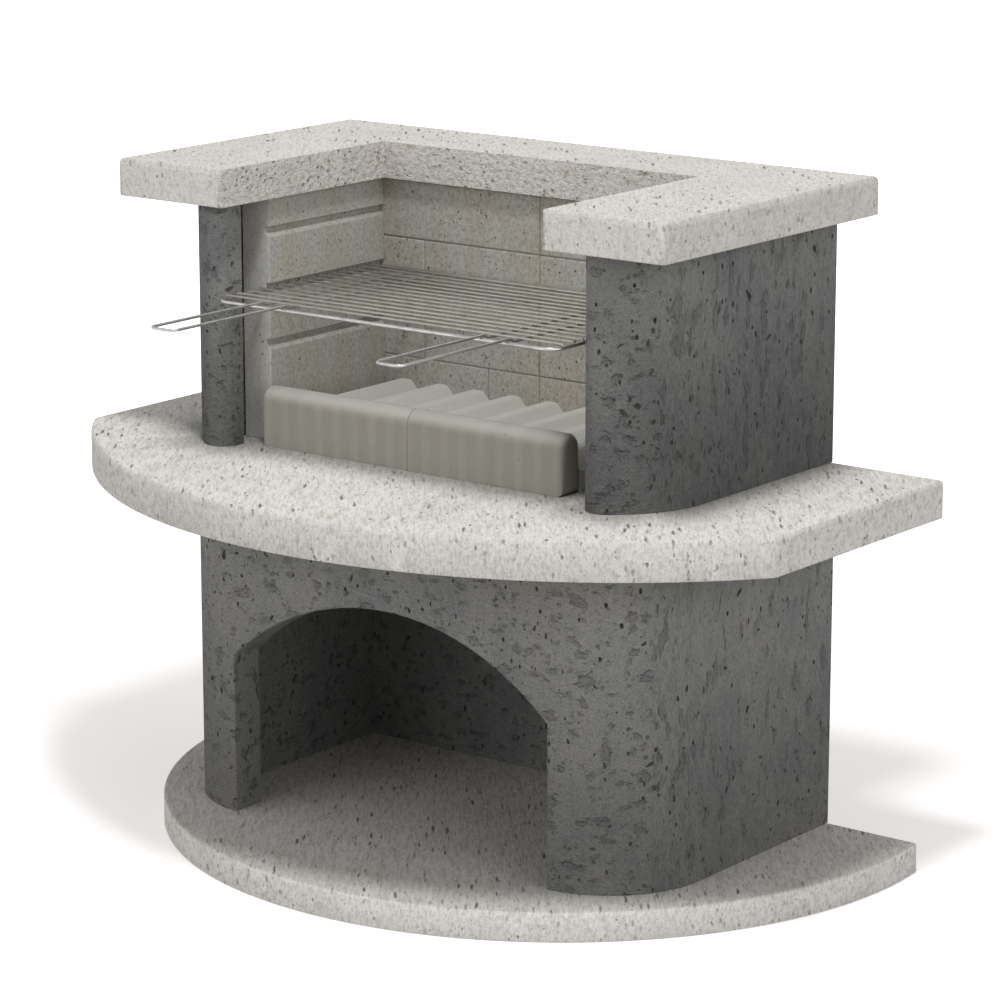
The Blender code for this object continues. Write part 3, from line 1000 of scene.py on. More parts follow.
def settle(bm: bmesh.types.BMesh) -> None:
    """Sort the parts of a bmesh along a skew line, and let each face begin at its first vertex.

    Extrusions and bevels leave them in an order, and at places below a micrometre, that differ from
    run to run, which would move everything that is drawn by chance from them.

    Args:
        bm: The bmesh, which keeps its shape.
    """
    for vert in bm.verts:
        vert.co = [round(value, PLACE_DIGITS) for value in vert.co]
    bm.verts.sort(key=lambda vert: vert.co.dot(SORTING_LINE))
    bm.verts.index_update()
    for face in bm.faces[:]:
        ring = face.verts[:]
        start = min(range(len(ring)), key=lambda number: ring[number].index)
        if start:
            slot = face.material_index
            bm.faces.remove(face)
            bm.faces.new(ring[start:] + ring[:start]).material_index = slot
    bm.edges.sort(key=lambda edge: (edge.verts[0].co + edge.verts[1].co).dot(SORTING_LINE))
    bm.faces.sort(key=lambda face: face.calc_center_median().dot(SORTING_LINE))
    bm.normal_update()


def draw_out(bm: bmesh.types.BMesh, along: Sequence[float]) -> bmesh.types.BMesh:
    """Extrude the one face of a bmesh into a solid.

    Args:
        bm: The bmesh.
        along: Where to, as a vector.

    Returns:
        The same bmesh.
    """
    start = bm.verts[:]
    drawn = verts_in(bmesh.ops.extrude_face_region(bm, geom=bm.faces[:])["geom"])
    bmesh.ops.translate(bm, verts=drawn, vec=Vector(along))
    copies = set(drawn)
    for vert in start:
        aim(bm, vert, copies)
    bmesh.ops.recalc_face_normals(bm, faces=bm.faces[:])
    settle(bm)
    return bm


def aim(bm: bmesh.types.BMesh, vert: bmesh.types.BMVert, copies: set[bmesh.types.BMVert]) -> None:
    """Make the edge anew that an extrusion drew out of a vertex, so that it begins there.

    Its direction differs from run to run otherwise, and with it the last digits of later cuts.

    Args:
        bm: The bmesh.
        vert: The vertex.
        copies: The vertices that the extrusion made.
    """
    for edge in [edge for edge in vert.link_edges if edge.other_vert(vert) in copies]:
        copy = edge.other_vert(vert)
        rings = [face.verts[:] for face in edge.link_faces]
        bm.edges.remove(edge)
        bm.edges.new((vert, copy))
        for ring in rings:
            bm.faces.new(ring)


def mirrored(bm: bmesh.types.BMesh) -> None:
    """Turn a piece for the right side into one for the left side."""
    bmesh.ops.scale(bm, verts=bm.verts[:], vec=(-1, 1, 1))
    bmesh.ops.recalc_face_normals(bm, faces=bm.faces[:])


def disc(centre: Sequence[float], radius: float, segments: int) -> bmesh.types.BMesh:
    """A level round face.

    Args:
        centre: Its middle.
        radius: Its radius.
        segments: Number of facets of its edge.

    Returns:
        The face as a bmesh.
    """
    bm = bmesh.new()
    bmesh.ops.create_circle(
        bm, cap_ends=True, segments=segments, radius=radius, matrix=Matrix.Translation(centre)
    )
    return bm


def cut_off(bm: bmesh.types.BMesh, point: Sequence[float], outward: Sequence[float]) -> None:
    """Cut away all that lies beyond a plane, and leave the cut open.

    Args:
        bm: What is cut.
        point: A point of the plane.
        outward: Direction square to the plane, to the side that goes.
    """
    bmesh.ops.bisect_plane(
        bm,
        geom=bm.verts[:] + bm.edges[:] + bm.faces[:],
        dist=TOUCH,
        plane_co=point,
        plane_no=outward,
        clear_outer=True,
    )


def block(low: Sequence[float], high: Sequence[float]) -> bmesh.types.BMesh:
    """A square-edged block.

    Args:
        low: Its lowest corner.
        high: Its highest corner.

    Returns:
        The block.
    """
    low, high = Vector(low), Vector(high)
    bm = bmesh.new()
    size = Matrix.Diagonal((*(high - low), 1))
    bmesh.ops.create_cube(bm, size=1, matrix=Matrix.Translation((low + high) / 2) @ size)
    return bm


def round_over(
    bm: bmesh.types.BMesh, edges: Iterable[bmesh.types.BMEdge], radius: float, steps: int
) -> None:
    """Round some edges.

    Args:
        bm: The piece.
        edges: The edges.
        radius: How far the rounding reaches from each.
        steps: Number of facets.
    """
    bmesh.ops.bevel(
        bm,
        geom=list(edges),
        offset=radius,
        segments=steps,
        profile=ROUND_PROFILE,
        affect="EDGES",
        material=KEEP_MATERIAL,
    )
    bmesh.ops.remove_doubles(bm, verts=bm.verts[:], dist=TOUCH)
    settle(bm)


def level_edges(bm: bmesh.types.BMesh, height: float) -> list[bmesh.types.BMEdge]:
    """Corner edges that lie at one height.

    Args:
        bm: The piece.
        height: The height.

    Returns:
        The edges.
    """
    return [
        edge
        for edge in bm.edges
        if all(abs(vert.co.z - height) < TOUCH for vert in edge.verts)
        and edge.calc_face_angle(0) > CORNER_TURN
    ]


def outward_corners(bm: bmesh.types.BMesh) -> list[bmesh.types.BMEdge]:
    """All edges at which a piece has an outward corner."""
    return [e for e in bm.edges if e.is_convex and e.calc_face_angle(0) > CORNER_TURN]


def upright_corners(bm: bmesh.types.BMesh) -> list[bmesh.types.BMEdge]:
    """Outward corner edges that stand upright."""
    return [e for e in outward_corners(bm) if (e.verts[0].co - e.verts[1].co).xy.length < TOUCH]


def looks_up(middle: Vector, normal: Vector) -> bool:
    """Whether a face looks up."""
    return normal.z > UPRIGHT


def is_upright(middle: Vector, normal: Vector) -> bool:
    """Whether a face stands upright."""
    return abs(normal.z) < UPRIGHT


@dataclass(frozen=True)
class AirHoles:
    """How air holes are strewn over a cast face."""

    per_square_metre: float
    least: float
    most: float
    small_bias: float = 2.2
    stretch: float = 1.5
    skew_degrees: float = 20.0
    depth_share: float = 0.45
    raggedness: float = 0.25
    subdivisions: int = 2

    def size(self, rng: random.Random) -> float:
        """Width of one hole: mostly near the least one."""
        return self.least + (self.most - self.least) * rng.random() ** self.small_bias


Strewn = Sequence[tuple[AirHoles, Place]]


class Drill:
    """Strews air holes over the faces of a piece, as one cutter."""

    def __init__(self, seed: int) -> None:
        """Start a cutter with no holes.

        Args:
            seed: Seed of its random draws.
        """
        self.rng = random.Random(seed)
        self.bm = bmesh.new()
        self.taken: dict[tuple[int, int, int], list[tuple[Vector, float]]] = {}
        self.balls: dict[AirHoles, list[bpy.types.Mesh]] = {}

    def ball(self, holes: AirHoles) -> bpy.types.Mesh:
        """One of a dozen ragged balls, which the holes are stamped from.

        Args:
            holes: The kind of holes.

        Returns:
            The ball.
        """
        if holes not in self.balls:
            self.balls[holes] = [self.ragged(holes) for _ in range(BALL_COUNT)]
        return self.rng.choice(self.balls[holes])

    def ragged(self, holes: AirHoles) -> bpy.types.Mesh:
        """A ball of radius 1 with bumps and dents.

        Args:
            holes: The kind of holes.

        Returns:
            The ball.
        """
        bm = bmesh.new()
        bmesh.ops.create_icosphere(bm, subdivisions=holes.subdivisions, radius=1)
        shift = Vector([self.rng.uniform(-BALL_SPREAD, BALL_SPREAD) for _ in range(3)])
        for vert in bm.verts:
            vert.co *= 1 + holes.raggedness * noise.noise(vert.co * BALL_BUMPS + shift)
        mesh = bpy.data.meshes.new("air_hole")
        bm.to_mesh(mesh)
        bm.free()
        return mesh

    def cell_of(self, point: Vector) -> tuple[int, int, int]:
        """Number of the cell that a point lies in."""
        return tuple(math.floor(value / HOLE_CELL) for value in point)

    def is_free(self, point: Vector, reach: float) -> bool:
        """Whether a hole stays clear of the others.

        Args:
            point: Its middle.
            reach: How far it reaches.

        Returns:
            True where it meets none.
        """
        x, y, z = self.cell_of(point)
        near = (
            held
            for i in (x - 1, x, x + 1)
            for j in (y - 1, y, y + 1)
            for k in (z - 1, z, z + 1)
            for held in self.taken.get((i, j, k), ())
        )
        return all((point - other).length > reach + taken for other, taken in near)

    def strew(self, mesh: bpy.types.Mesh, holes: AirHoles, where: Place) -> None:
        """Place holes at random on some faces of a mesh.

        Args:
            mesh: The piece's mesh.
            holes: How they are strewn.
            where: Whether a face takes holes, from its middle and its normal.
        """
        mesh.calc_loop_triangles()
        faces, areas = [], []
        for triangle in mesh.loop_triangles:
            polygon = mesh.polygons[triangle.polygon_index]
            if where(polygon.center, polygon.normal) and triangle.area > 0:
                faces.append(triangle)
                areas.append(triangle.area)
        count = round(sum(areas) * holes.per_square_metre)
        for triangle in self.rng.choices(faces, areas, k=count) if faces else ():
            first, second, third = (mesh.vertices[index].co for index in triangle.vertices)
            u, v = sorted((self.rng.random(), self.rng.random()))
            point = first * u + second * (v - u) + third * (1 - v)
            self.bore(point, triangle.normal.copy(), holes)

    def bore(self, point: Vector, normal: Vector, holes: AirHoles) -> None:
        """Add one ragged, flattened ball to the cutter, unless it would meet another one.

        Args:
            point: Its middle, on the face.
            normal: The face's normal.
            holes: The kind of holes.
        """
        width = holes.size(self.rng) / 2
        length = width * self.rng.uniform(1, holes.stretch)
        skew = math.radians(self.rng.uniform(-holes.skew_degrees, holes.skew_degrees))
        reach = length * HOLE_ROOM
        if not self.is_free(point, reach):
            return
        self.taken.setdefault(self.cell_of(point), []).append((point, reach))
        fall = Vector((0, 0, 1)) if abs(normal.z) < LEVEL_FACE else LEVEL_GRAIN
        along = (fall - normal * fall.dot(normal)).normalized()
        along.rotate(Matrix.Rotation(skew, 3, normal))
        across = along.cross(normal)
        depth = 2 * width * holes.depth_share
        turned = Matrix((across, along, normal)).transposed().to_4x4()
        shape = Matrix.Translation(point) @ turned @ Matrix.Diagonal((width, length, depth, 1))
        stamp = self.ball(holes).copy()
        stamp.transform(shape)
        self.bm.from_mesh(stamp)
        bpy.data.meshes.remove(stamp)

    def cutter(self) -> bmesh.types.BMesh:
        """The holes as one bmesh, whose faces bring their own material slot.

        Returns:
            The cutter.
        """
        for face in self.bm.faces:
            face.material_index = HOLE_SLOT
        for balls in self.balls.values():
            for ball in balls:
                bpy.data.meshes.remove(ball)
        return self.bm


def put_up(name: str, data: bpy.types.ID) -> bpy.types.Object:
    """Make an object of some data, and put it in the scene.

    Args:
        name: Name of the object.
        data: Its mesh, lamp or camera.

    Returns:
        The object.
    """
    obj = bpy.data.objects.new(name, data)
    bpy.context.scene.collection.objects.link(obj)
    return obj


class Workshop:
    """Makes finished pieces out of bmeshes, and sets them in place of the construction's pieces."""

    def __init__(self) -> None:
        """Start with no finish built."""
        self.stock: dict[object, bpy.types.Material] = {}

    def material(self, finish: object) -> bpy.types.Material:
        """The material of a finish, which is built once.

        Args:
            finish: The finish.

        Returns:
            Its material.
        """
        if finish not in self.stock:
            self.stock[finish] = finish.material()
        return self.stock[finish]

    def piece(self, name: str, bm: bmesh.types.BMesh, *finishes: object) -> bpy.types.Object:
        """Turn a bmesh into an object with its finishes.

        Args:
            name: Name of the piece.
            bm: The shape, which is used up.
            finishes: The finish of each material slot.

        Returns:
            The object, at the origin.
        """
        mesh = bpy.data.meshes.new(name)
        bm.to_mesh(mesh)
        bm.free()
        for finish in finishes:
            mesh.materials.append(self.material(finish))
        return put_up(name, mesh)

    def carve(self, obj: bpy.types.Object, cutter: bmesh.types.BMesh) -> None:
        """Cut a shape out of a piece, and keep the result as its mesh.

        Args:
            obj: The piece.
            cutter: The shape, which is used up.
        """
        tool = self.piece(f"{obj.name}_cutter", cutter)
        for material in obj.data.materials:
            tool.data.materials.append(material)
        work = obj.modifiers.new("cut", "BOOLEAN")
        work.operation = "DIFFERENCE"
        work.solver = "MANIFOLD"
        work.material_mode = "INDEX"
        work.object = tool
        graph = bpy.context.evaluated_depsgraph_get()
        carved = bpy.data.meshes.new_from_object(obj.evaluated_get(graph))
        obj.modifiers.clear()
        plain, obj.data = obj.data, carved
        name = plain.name
        bpy.data.meshes.remove(plain)
        carved.name = name
        bpy.data.objects.remove(tool, do_unlink=True)

    def drilled(self, obj: bpy.types.Object, node: str, strewn: Strewn) -> None:
        """Cut air holes into a piece, with the finish of its second material slot.

        Args:
            obj: The piece.
            node: The construction's node that it stands for, which gives the seed.
            strewn: Each kind of holes, and where they lie.
        """
        netted(obj.data)
        drill = Drill(SEEDS[node])
        for holes, where in strewn:
            drill.strew(obj.data, holes, where)
        self.carve(obj, drill.cutter())

    def hand_over(
        self, obj: bpy.types.Object, nodes: Sequence[str], body: str = "masonry"
    ) -> None:
        """Shade a piece, set it on its body and let it stand for its nodes.

        Args:
            obj: The piece.
            nodes: The construction's nodes that it replaces.
            body: The body that it rides on.
        """
        shade(obj.data)
        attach(obj, body)
        if nodes:
            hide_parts(*nodes)
        LOG.info("%s: %d faces, stands for %s", obj.name, len(obj.data.polygons), list(nodes))


def netted(mesh: bpy.types.Mesh) -> None:
    """Cut the large flat faces of a piece into a net, so that no face gets many holes.

    Args:
        mesh: The piece's mesh.
    """
    bm = bmesh.new()
    bm.from_mesh(mesh)
    low = [min(vert.co[axis] for vert in bm.verts) for axis in range(3)]
    high = [max(vert.co[axis] for vert in bm.verts) for axis in range(3)]
    large = [face for face in bm.faces if face.calc_area() > NET_PITCH**2]
    flat = [face for face in large if is_square_on(face.normal)]
    geom = list(dict.fromkeys(item for face in flat for item in (*face.verts, *face.edges, face)))
    for axis in range(3):
        count = math.ceil((high[axis] - low[axis]) / NET_PITCH)
        across = Vector([float(number == axis) for number in range(3)])
        for step in range(1, count):
            place = across * (low[axis] + (high[axis] - low[axis]) * step / count)
            cut = bmesh.ops.bisect_plane(bm, geom=geom, dist=TOUCH, plane_co=place, plane_no=across)
            geom = cut["geom"]
    bm.to_mesh(mesh)
    bm.free()


def is_square_on(normal: Vector) -> bool:
    """Whether a face looks straight along one of the axes."""
    return max(abs(value) for value in normal) > SQUARE_ON


def shade(mesh: bpy.types.Mesh) -> None:
    """Shade round stretches smooth and keep flat faces and corners crisp.

    Args:
        mesh: The piece's mesh.
    """
    bm = bmesh.new()
    bm.from_mesh(mesh)
    for face in bm.faces:
        face.smooth = True
    for edge in bm.edges:
        if len(edge.link_faces) == 2:
            flat = [is_square_on(face.normal) for face in edge.link_faces]
            edge.smooth = edge.calc_face_angle(0) < SHARP_EDGE and flat[0] == flat[1]
    bm.to_mesh(mesh)
    bm.free()


def nodes_named(start: str) -> list[str]:
    """The construction's nodes whose names start so, in order."""
    return sorted(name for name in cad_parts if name.startswith(start))


@dataclass
class CastPlate:
    """What the three cast plates share: rounded rims, air holes and how they are handed over."""

    edge_radius: float
    corner_radius: float = 0.006
    foot_radius: float = 0.0015
    edge_steps: int = 6
    foot_steps: int = 2
    top_holes: AirHoles = AirHoles(
        700, 0.0018, 0.0046, small_bias=2.2, stretch=3.0, skew_degrees=8, raggedness=0.5
    )
    rim_holes: AirHoles = AirHoles(
        900, 0.0016, 0.0040, small_bias=2.4, stretch=2.4, raggedness=0.5
    )

    def rounded(self, bm: bmesh.types.BMesh) -> None:
        """Round the upright corners, the top rim and, less, the bottom rim.

        Args:
            bm: The plate.
        """
        top = max(vert.co.z for vert in bm.verts)
        bottom = min(vert.co.z for vert in bm.verts)
        round_over(bm, upright_corners(bm), self.corner_radius, self.edge_steps)
        round_over(bm, level_edges(bm, top), self.edge_radius, self.edge_steps)
        round_over(bm, level_edges(bm, bottom), self.foot_radius, self.foot_steps)

    def strewn(self) -> Strewn:
        """Some holes on the top, and others all round the rim."""
        return (self.top_holes, looks_up), (self.rim_holes, is_upright)

    def finished(self, shop: Workshop, obj: bpy.types.Object, node: str) -> None:
        """Drill a plate and hand it over."""
        shop.drilled(obj, node, self.strewn())
        shop.hand_over(obj, [node])


@dataclass
class BasePlate(CastPlate):
    """The plate on the ground: a disc cut off straight at the back."""

    edge_radius: float = 0.004
    radius: float = 0.543
    segments: int = 288

    def build(self, shop: Workshop) -> None:
        """Build and dress the plate.

        Args:
            shop: Where pieces are made.
        """
        low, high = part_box("base_plate")
        bm = disc((0, low.y + self.radius, low.z), self.radius, self.segments)
        cut_off(bm, (0, high.y, 0), (0, 1, 0))
        draw_out(bm, (0, 0, high.z - low.z))
        self.rounded(bm)
        obj = shop.piece("base_plate_cast", bm, BASE_CONCRETE, PALE_HOLES)
        self.finished(shop, obj, "base_plate")


@dataclass
class TablePlate(CastPlate):
    """The plate between the two bodies: straight sides and a bowed front."""

    edge_radius: float = 0.005
    side_length: float = 0.3885
    segments: int = 360
    nose_depth: float = 0.050
    nose_curve: float = 0.075
    nose_tip: float = 0.020

    def finish(self) -> CastConcrete:
        """Pick the plate's concrete, with painted contact shade close to what stands on it.

        Returns:
            The concrete.
        """
        bars = [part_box("ember_bar_left"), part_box("ember_bar_right")]
        low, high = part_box("right_cheek")
        inner = low + Vector((0, self.nose_tip, 0)), Vector((low.x + self.nose_depth, *high.yz))
        outer = low + Vector((self.nose_depth, self.nose_curve, 0)), high
        for first, last in (inner, outer):
            bars.append((first, last))
            bars.append((Vector((-last.x, *first.yz)), Vector((-first.x, *last.yz))))
        return replace(TABLE_CONCRETE, standing=tuple((tuple(a), tuple(b)) for a, b in bars))

    def build(self, shop: Workshop) -> None:
        """Build and dress the plate.

        Args:
            shop: Where pieces are made.
        """
        low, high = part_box("table_plate")
        half = high.x
        bow = high.y - low.y - self.side_length
        radius = (half**2 + bow**2) / (2 * bow)
        bm = disc((0, low.y + radius, low.z), radius, self.segments)
        cut_off(bm, (0, high.y, 0), (0, 1, 0))
        for side in Side:
            cut_off(bm, (side.value * half, 0, 0), (side.value, 0, 0))
        draw_out(bm, (0, 0, high.z - low.z))
        self.rounded(bm)
        obj = shop.piece("table_plate_cast", bm, self.finish(), PALE_HOLES)
        self.finished(shop, obj, "table_plate")


@dataclass
class CapPlate(CastPlate):
    """The U-shaped plate on top, whose mouth has raw, sharp-edged faces."""

    edge_radius: float = 0.007
    corner_radius: float = 0.009
    opening: float = 0.522
    back_band: float = 0.1475
    mouth_corner: float = 0.005
    mouth_steps: int = 6
    mouth_slot: int = 2
    wall_pitch: float = 0.004
    least_wall: float = 0.004
    overrun: float = 0.010
    mouth_holes: AirHoles = AirHoles(
        7000, 0.0020, 0.0060, stretch=2.2, skew_degrees=60, depth_share=0.2, raggedness=0.7
    )

    def mouth(self, low: Vector, high: Vector) -> bmesh.types.BMesh:
        """The cutter of the mouth.

        Args:
            low: Lowest corner of the plate.
            high: Highest corner of the plate.

        Returns:
            The cutter.
        """
        half = self.opening / 2
        inner = high.y - self.back_band
        bend = self.mouth_corner
        front = low.y - self.overrun
        foot = low.z - self.overrun
        contour = Contour((half + bend, front, foot)).line((half + bend, low.y, foot))
        contour.arc((half + bend, low.y + bend, foot), -90, self.mouth_steps)
        contour.line((half, inner, foot), (-half, inner, foot), (-half, low.y + bend, foot))
        contour.arc((-half - bend, low.y + bend, foot), -90, self.mouth_steps)
        contour.line((-half - bend, front, foot))
        bm = contour.drawn_out((0, 0, high.z - low.z + 2 * self.overrun))
        self.divided(bm)
        for face in bm.faces:
            face.material_index = self.mouth_slot
        return bm

    def divided(self, bm: bmesh.types.BMesh) -> None:
        """Divide the large walls of the cutter, so that the mouth's faces come out small.

        Args:
            bm: The cutter.
        """
        walls = [face for face in bm.faces if abs(face.normal.z) < UPRIGHT]
        large = [face for face in walls if face.calc_area() > self.least_wall]
        for edge in dict.fromkeys(edge for face in large for edge in face.edges):
            parts = round(edge.calc_length() / self.wall_pitch) - 1
            if parts > 0:
                bmesh.ops.subdivide_edges(bm, edges=[edge], cuts=parts, use_grid_fill=True)
        level = [face for face in bm.faces if abs(face.normal.z) > UPRIGHT]
        bmesh.ops.triangulate(bm, faces=level)

    def strewn(self) -> Strewn:
        """Many holes in the mouth, some on the top and others round the rest of the rim.

        Returns:
            Each kind of holes, and where they lie.
        """
        low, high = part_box("cap_plate")
        half = self.opening / 2 + self.mouth_corner
        inner = high.y - self.back_band + TOUCH

        def in_mouth(middle: Vector, normal: Vector) -> bool:
            """Whether a face is a wall of the mouth."""
            return is_upright(middle, normal) and abs(middle.x) < half and low.y < middle.y < inner

        def on_rim(middle: Vector, normal: Vector) -> bool:
            """Whether a face is a wall of the outer rim."""
            return is_upright(middle, normal) and not in_mouth(middle, normal)

        return (self.mouth_holes, in_mouth), (self.top_holes, looks_up), (self.rim_holes, on_rim)

    def build(self, shop: Workshop) -> None:
        """Build and dress the plate.

        Args:
            shop: Where pieces are made.
        """
        low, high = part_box("cap_plate")
        bm = block(low, high)
        self.rounded(bm)
        obj = shop.piece("cap_plate_cast", bm, PALE_CONCRETE, PALE_HOLES, ROUGH_CONCRETE)
        shop.carve(obj, self.mouth(low, high))
        self.finished(shop, obj, "cap_plate")


@dataclass
class DyedWall:
    """What the dark walls share: their air holes, their softened backs and how they are made."""

    finish: CastConcrete
    corner_steps: int = 60
    arris: float = 0.0015
    arris_steps: int = 3
    face_holes: AirHoles = AirHoles(
        1200, 0.0017, 0.0052, small_bias=2.1, stretch=2.2, raggedness=0.6
    )
    large_holes: AirHoles = AirHoles(
        90, 0.0038, 0.0076, stretch=3.0, skew_degrees=80, depth_share=0.20, raggedness=0.7
    )

    def soften_back(self, bm: bmesh.types.BMesh, back: float) -> None:
        """Take the sharpness off the upright edges of a wall's back.

        Args:
            bm: The wall.
            back: Where its back lies along Y.
        """
        corners = upright_corners(bm)
        edges = [edge for edge in corners if all(v.co.y > back - TOUCH for v in edge.verts)]
        round_over(bm, edges, self.arris, self.arris_steps)

    def cast(self, shop: Workshop, bm: bmesh.types.BMesh, node: str) -> bpy.types.Object:
        """Make a wall of dyed concrete, whose air holes are darker."""
        return shop.piece(f"{node}_cast", bm, self.finish, DARK_HOLES)

    def finished(self, shop: Workshop, obj: bpy.types.Object, node: str) -> None:
        """Drill a wall all round, and hand it over."""
        shop.drilled(obj, node, ((self.large_holes, is_upright), (self.face_holes, is_upright)))
        shop.hand_over(obj, [node])


@dataclass
class LowerBody(DyedWall):
    """The wood store: a round-cornered front with an arch, two side walls and a back wall."""

    finish: CastConcrete = LOWER_CONCRETE
    corner_radius: float = 0.144
    wall: float = 0.051
    arch_width: float = 0.524
    spring_height: float = 0.2185
    arch_rise: float = 0.1035
    arch_steps: int = 64
    arch_edge: float = 0.003
    arch_edge_steps: int = 4
    overrun: float = 0.010

    def build(self, shop: Workshop) -> None:
        """Build and dress the four walls.

        Args:
            shop: Where pieces are made.
        """
        self.build_front(shop)
        for name in ("lower_left_wall", "lower_right_wall", "lower_back_wall"):
            low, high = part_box(name)
            if name != "lower_back_wall":
                low.y = self.joint()
            bm = block(low, high)
            self.soften_back(bm, high.y)
            self.finished(shop, self.cast(shop, bm, name), name)

    def joint(self) -> float:
        """Plane in which the arched front meets the side walls."""
        return (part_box("arch_front")[1].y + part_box("lower_left_wall")[0].y) / 2

    def build_front(self, shop: Workshop) -> None:
        """Build the front wall with its two round corners, and cut the arch through it.

        Args:
            shop: Where pieces are made.
        """
        low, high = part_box("arch_front")
        back = self.joint()
        outer, inner = high.x, high.x - self.wall
        corner = high.x - self.corner_radius
        front = low.y + self.corner_radius
        contour = Contour((-outer, back, low.z)).line((-outer, front, low.z))
        contour.arc((-corner, front, 0), 90, self.corner_steps).line((corner, low.y, low.z))
        contour.arc((corner, front, 0), 90, self.corner_steps).line((outer, back, low.z))
        contour.line((inner, back, low.z), (inner, front, low.z))
        contour.arc((corner, front, 0), -90, self.corner_steps)
        contour.line((-corner, low.y + self.wall, low.z))
        contour.arc((-corner, front, 0), -90, self.corner_steps).line((-inner, back, low.z))
        bm = contour.drawn_out((0, 0, high.z - low.z))
        obj = self.cast(shop, bm, "arch_front")
        shop.carve(obj, self.arch(low))
        self.soften_arch(obj, low)
        self.finished(shop, obj, "arch_front")

    def arch(self, low: Vector) -> bmesh.types.BMesh:
        """The cutter of the arched opening, which reaches well through the wall.

        Args:
            low: Lowest corner of the front wall.

        Returns:
            The cutter.
        """
        half = self.arch_width / 2
        radius = (half**2 + self.arch_rise**2) / (2 * self.arch_rise)
        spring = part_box("base_plate")[1].z + self.spring_height
        middle = spring + self.arch_rise - radius
        spread = math.degrees(math.asin(half / radius))
        start = low.y - self.overrun
        foot = low.z - self.overrun
        contour = Contour((-half, start, foot), (0, 1, 0)).line((-half, start, spring))
        contour.arc((0, start, middle), 2 * spread, self.arch_steps).line((half, start, foot))
        return contour.drawn_out((0, self.wall + 4 * self.overrun, 0))

    def soften_arch(self, obj: bpy.types.Object, low: Vector) -> None:
        """Round the arch's edge in the front face of the wall.

        Args:
            obj: The wall.
            low: Its lowest corner.
        """
        bm = bmesh.new()
        bm.from_mesh(obj.data)
        half = self.arch_width / 2 + TOUCH
        front = low.y + self.arch_edge / 3
        rim = [
            edge
            for edge in bm.edges
            if edge.is_convex
            and edge.calc_face_angle(0) > SHARP_EDGE
            and all(abs(v.co.x) < half and v.co.z > low.z - TOUCH for v in edge.verts)
            and not all(abs(v.co.z - low.z) < TOUCH for v in edge.verts)
            and all(v.co.y < front for v in edge.verts)
        ]
        round_over(bm, rim, self.arch_edge, self.arch_edge_steps)
        bm.to_mesh(obj.data)
        bm.free()


@dataclass
class UpperBody(DyedWall):
    """Two cheeks that swell into rounded noses, and the back wall between them."""

    finish: CastConcrete = UPPER_CONCRETE
    nose_steps: int = 40
    wall: float = 0.070
    corner_radius: float = 0.142
    straight_length: float = 0.302
    nose_passage: float = 0.582
    nose_radius: float = 0.025
    nose_flat: float = 0.0156
    nose_chamfer: float = 0.003

    def build(self, shop: Workshop) -> None:
        """Build and dress the three walls.

        Args:
            shop: Where pieces are made.
        """
        for side in Side:
            name = f"{side.name.lower()}_cheek"
            bm = self.cheek(*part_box("right_cheek"))
            if side is Side.LEFT:
                mirrored(bm)
            self.finished(shop, self.cast(shop, bm, name), name)
        bm = block(*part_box("upper_back_wall"))
        round_over(bm, upright_corners(bm), self.arris, self.arris_steps)
        self.finished(shop, self.cast(shop, bm, "upper_back_wall"), "upper_back_wall")

    def cheek(self, low: Vector, high: Vector) -> bmesh.types.BMesh:
        """The right cheek.

        Args:
            low: Lowest corner of its node.
            high: Highest corner of its node.

        Returns:
            The solid.
        """
        corner = Vector((high.x - self.corner_radius, high.y - self.straight_length, low.z))
        nose_x = self.nose_passage / 2 + self.nose_radius
        reach = self.corner_radius - self.nose_radius
        nose = Vector((nose_x, corner.y - math.sqrt(reach**2 - (nose_x - corner.x) ** 2), low.z))
        meet = math.degrees(math.atan2(nose.y - corner.y, nose.x - corner.x))
        rear = nose.y + self.nose_flat
        inside = self.nose_passage / 2
        contour = Contour((high.x - self.wall, high.y, low.z))
        contour.line((high.x - self.wall, rear, low.z))
        contour.line((inside + self.nose_chamfer, rear, low.z))
        contour.line((inside, rear - self.nose_chamfer, low.z), (inside, nose.y, low.z))
        contour.arc(nose, 180 + meet, self.nose_steps)
        contour.arc(corner, -meet, self.corner_steps).line((high.x, high.y, low.z))
        bm = contour.drawn_out((0, 0, high.z - low.z))
        self.soften_back(bm, high.y)
        return bm


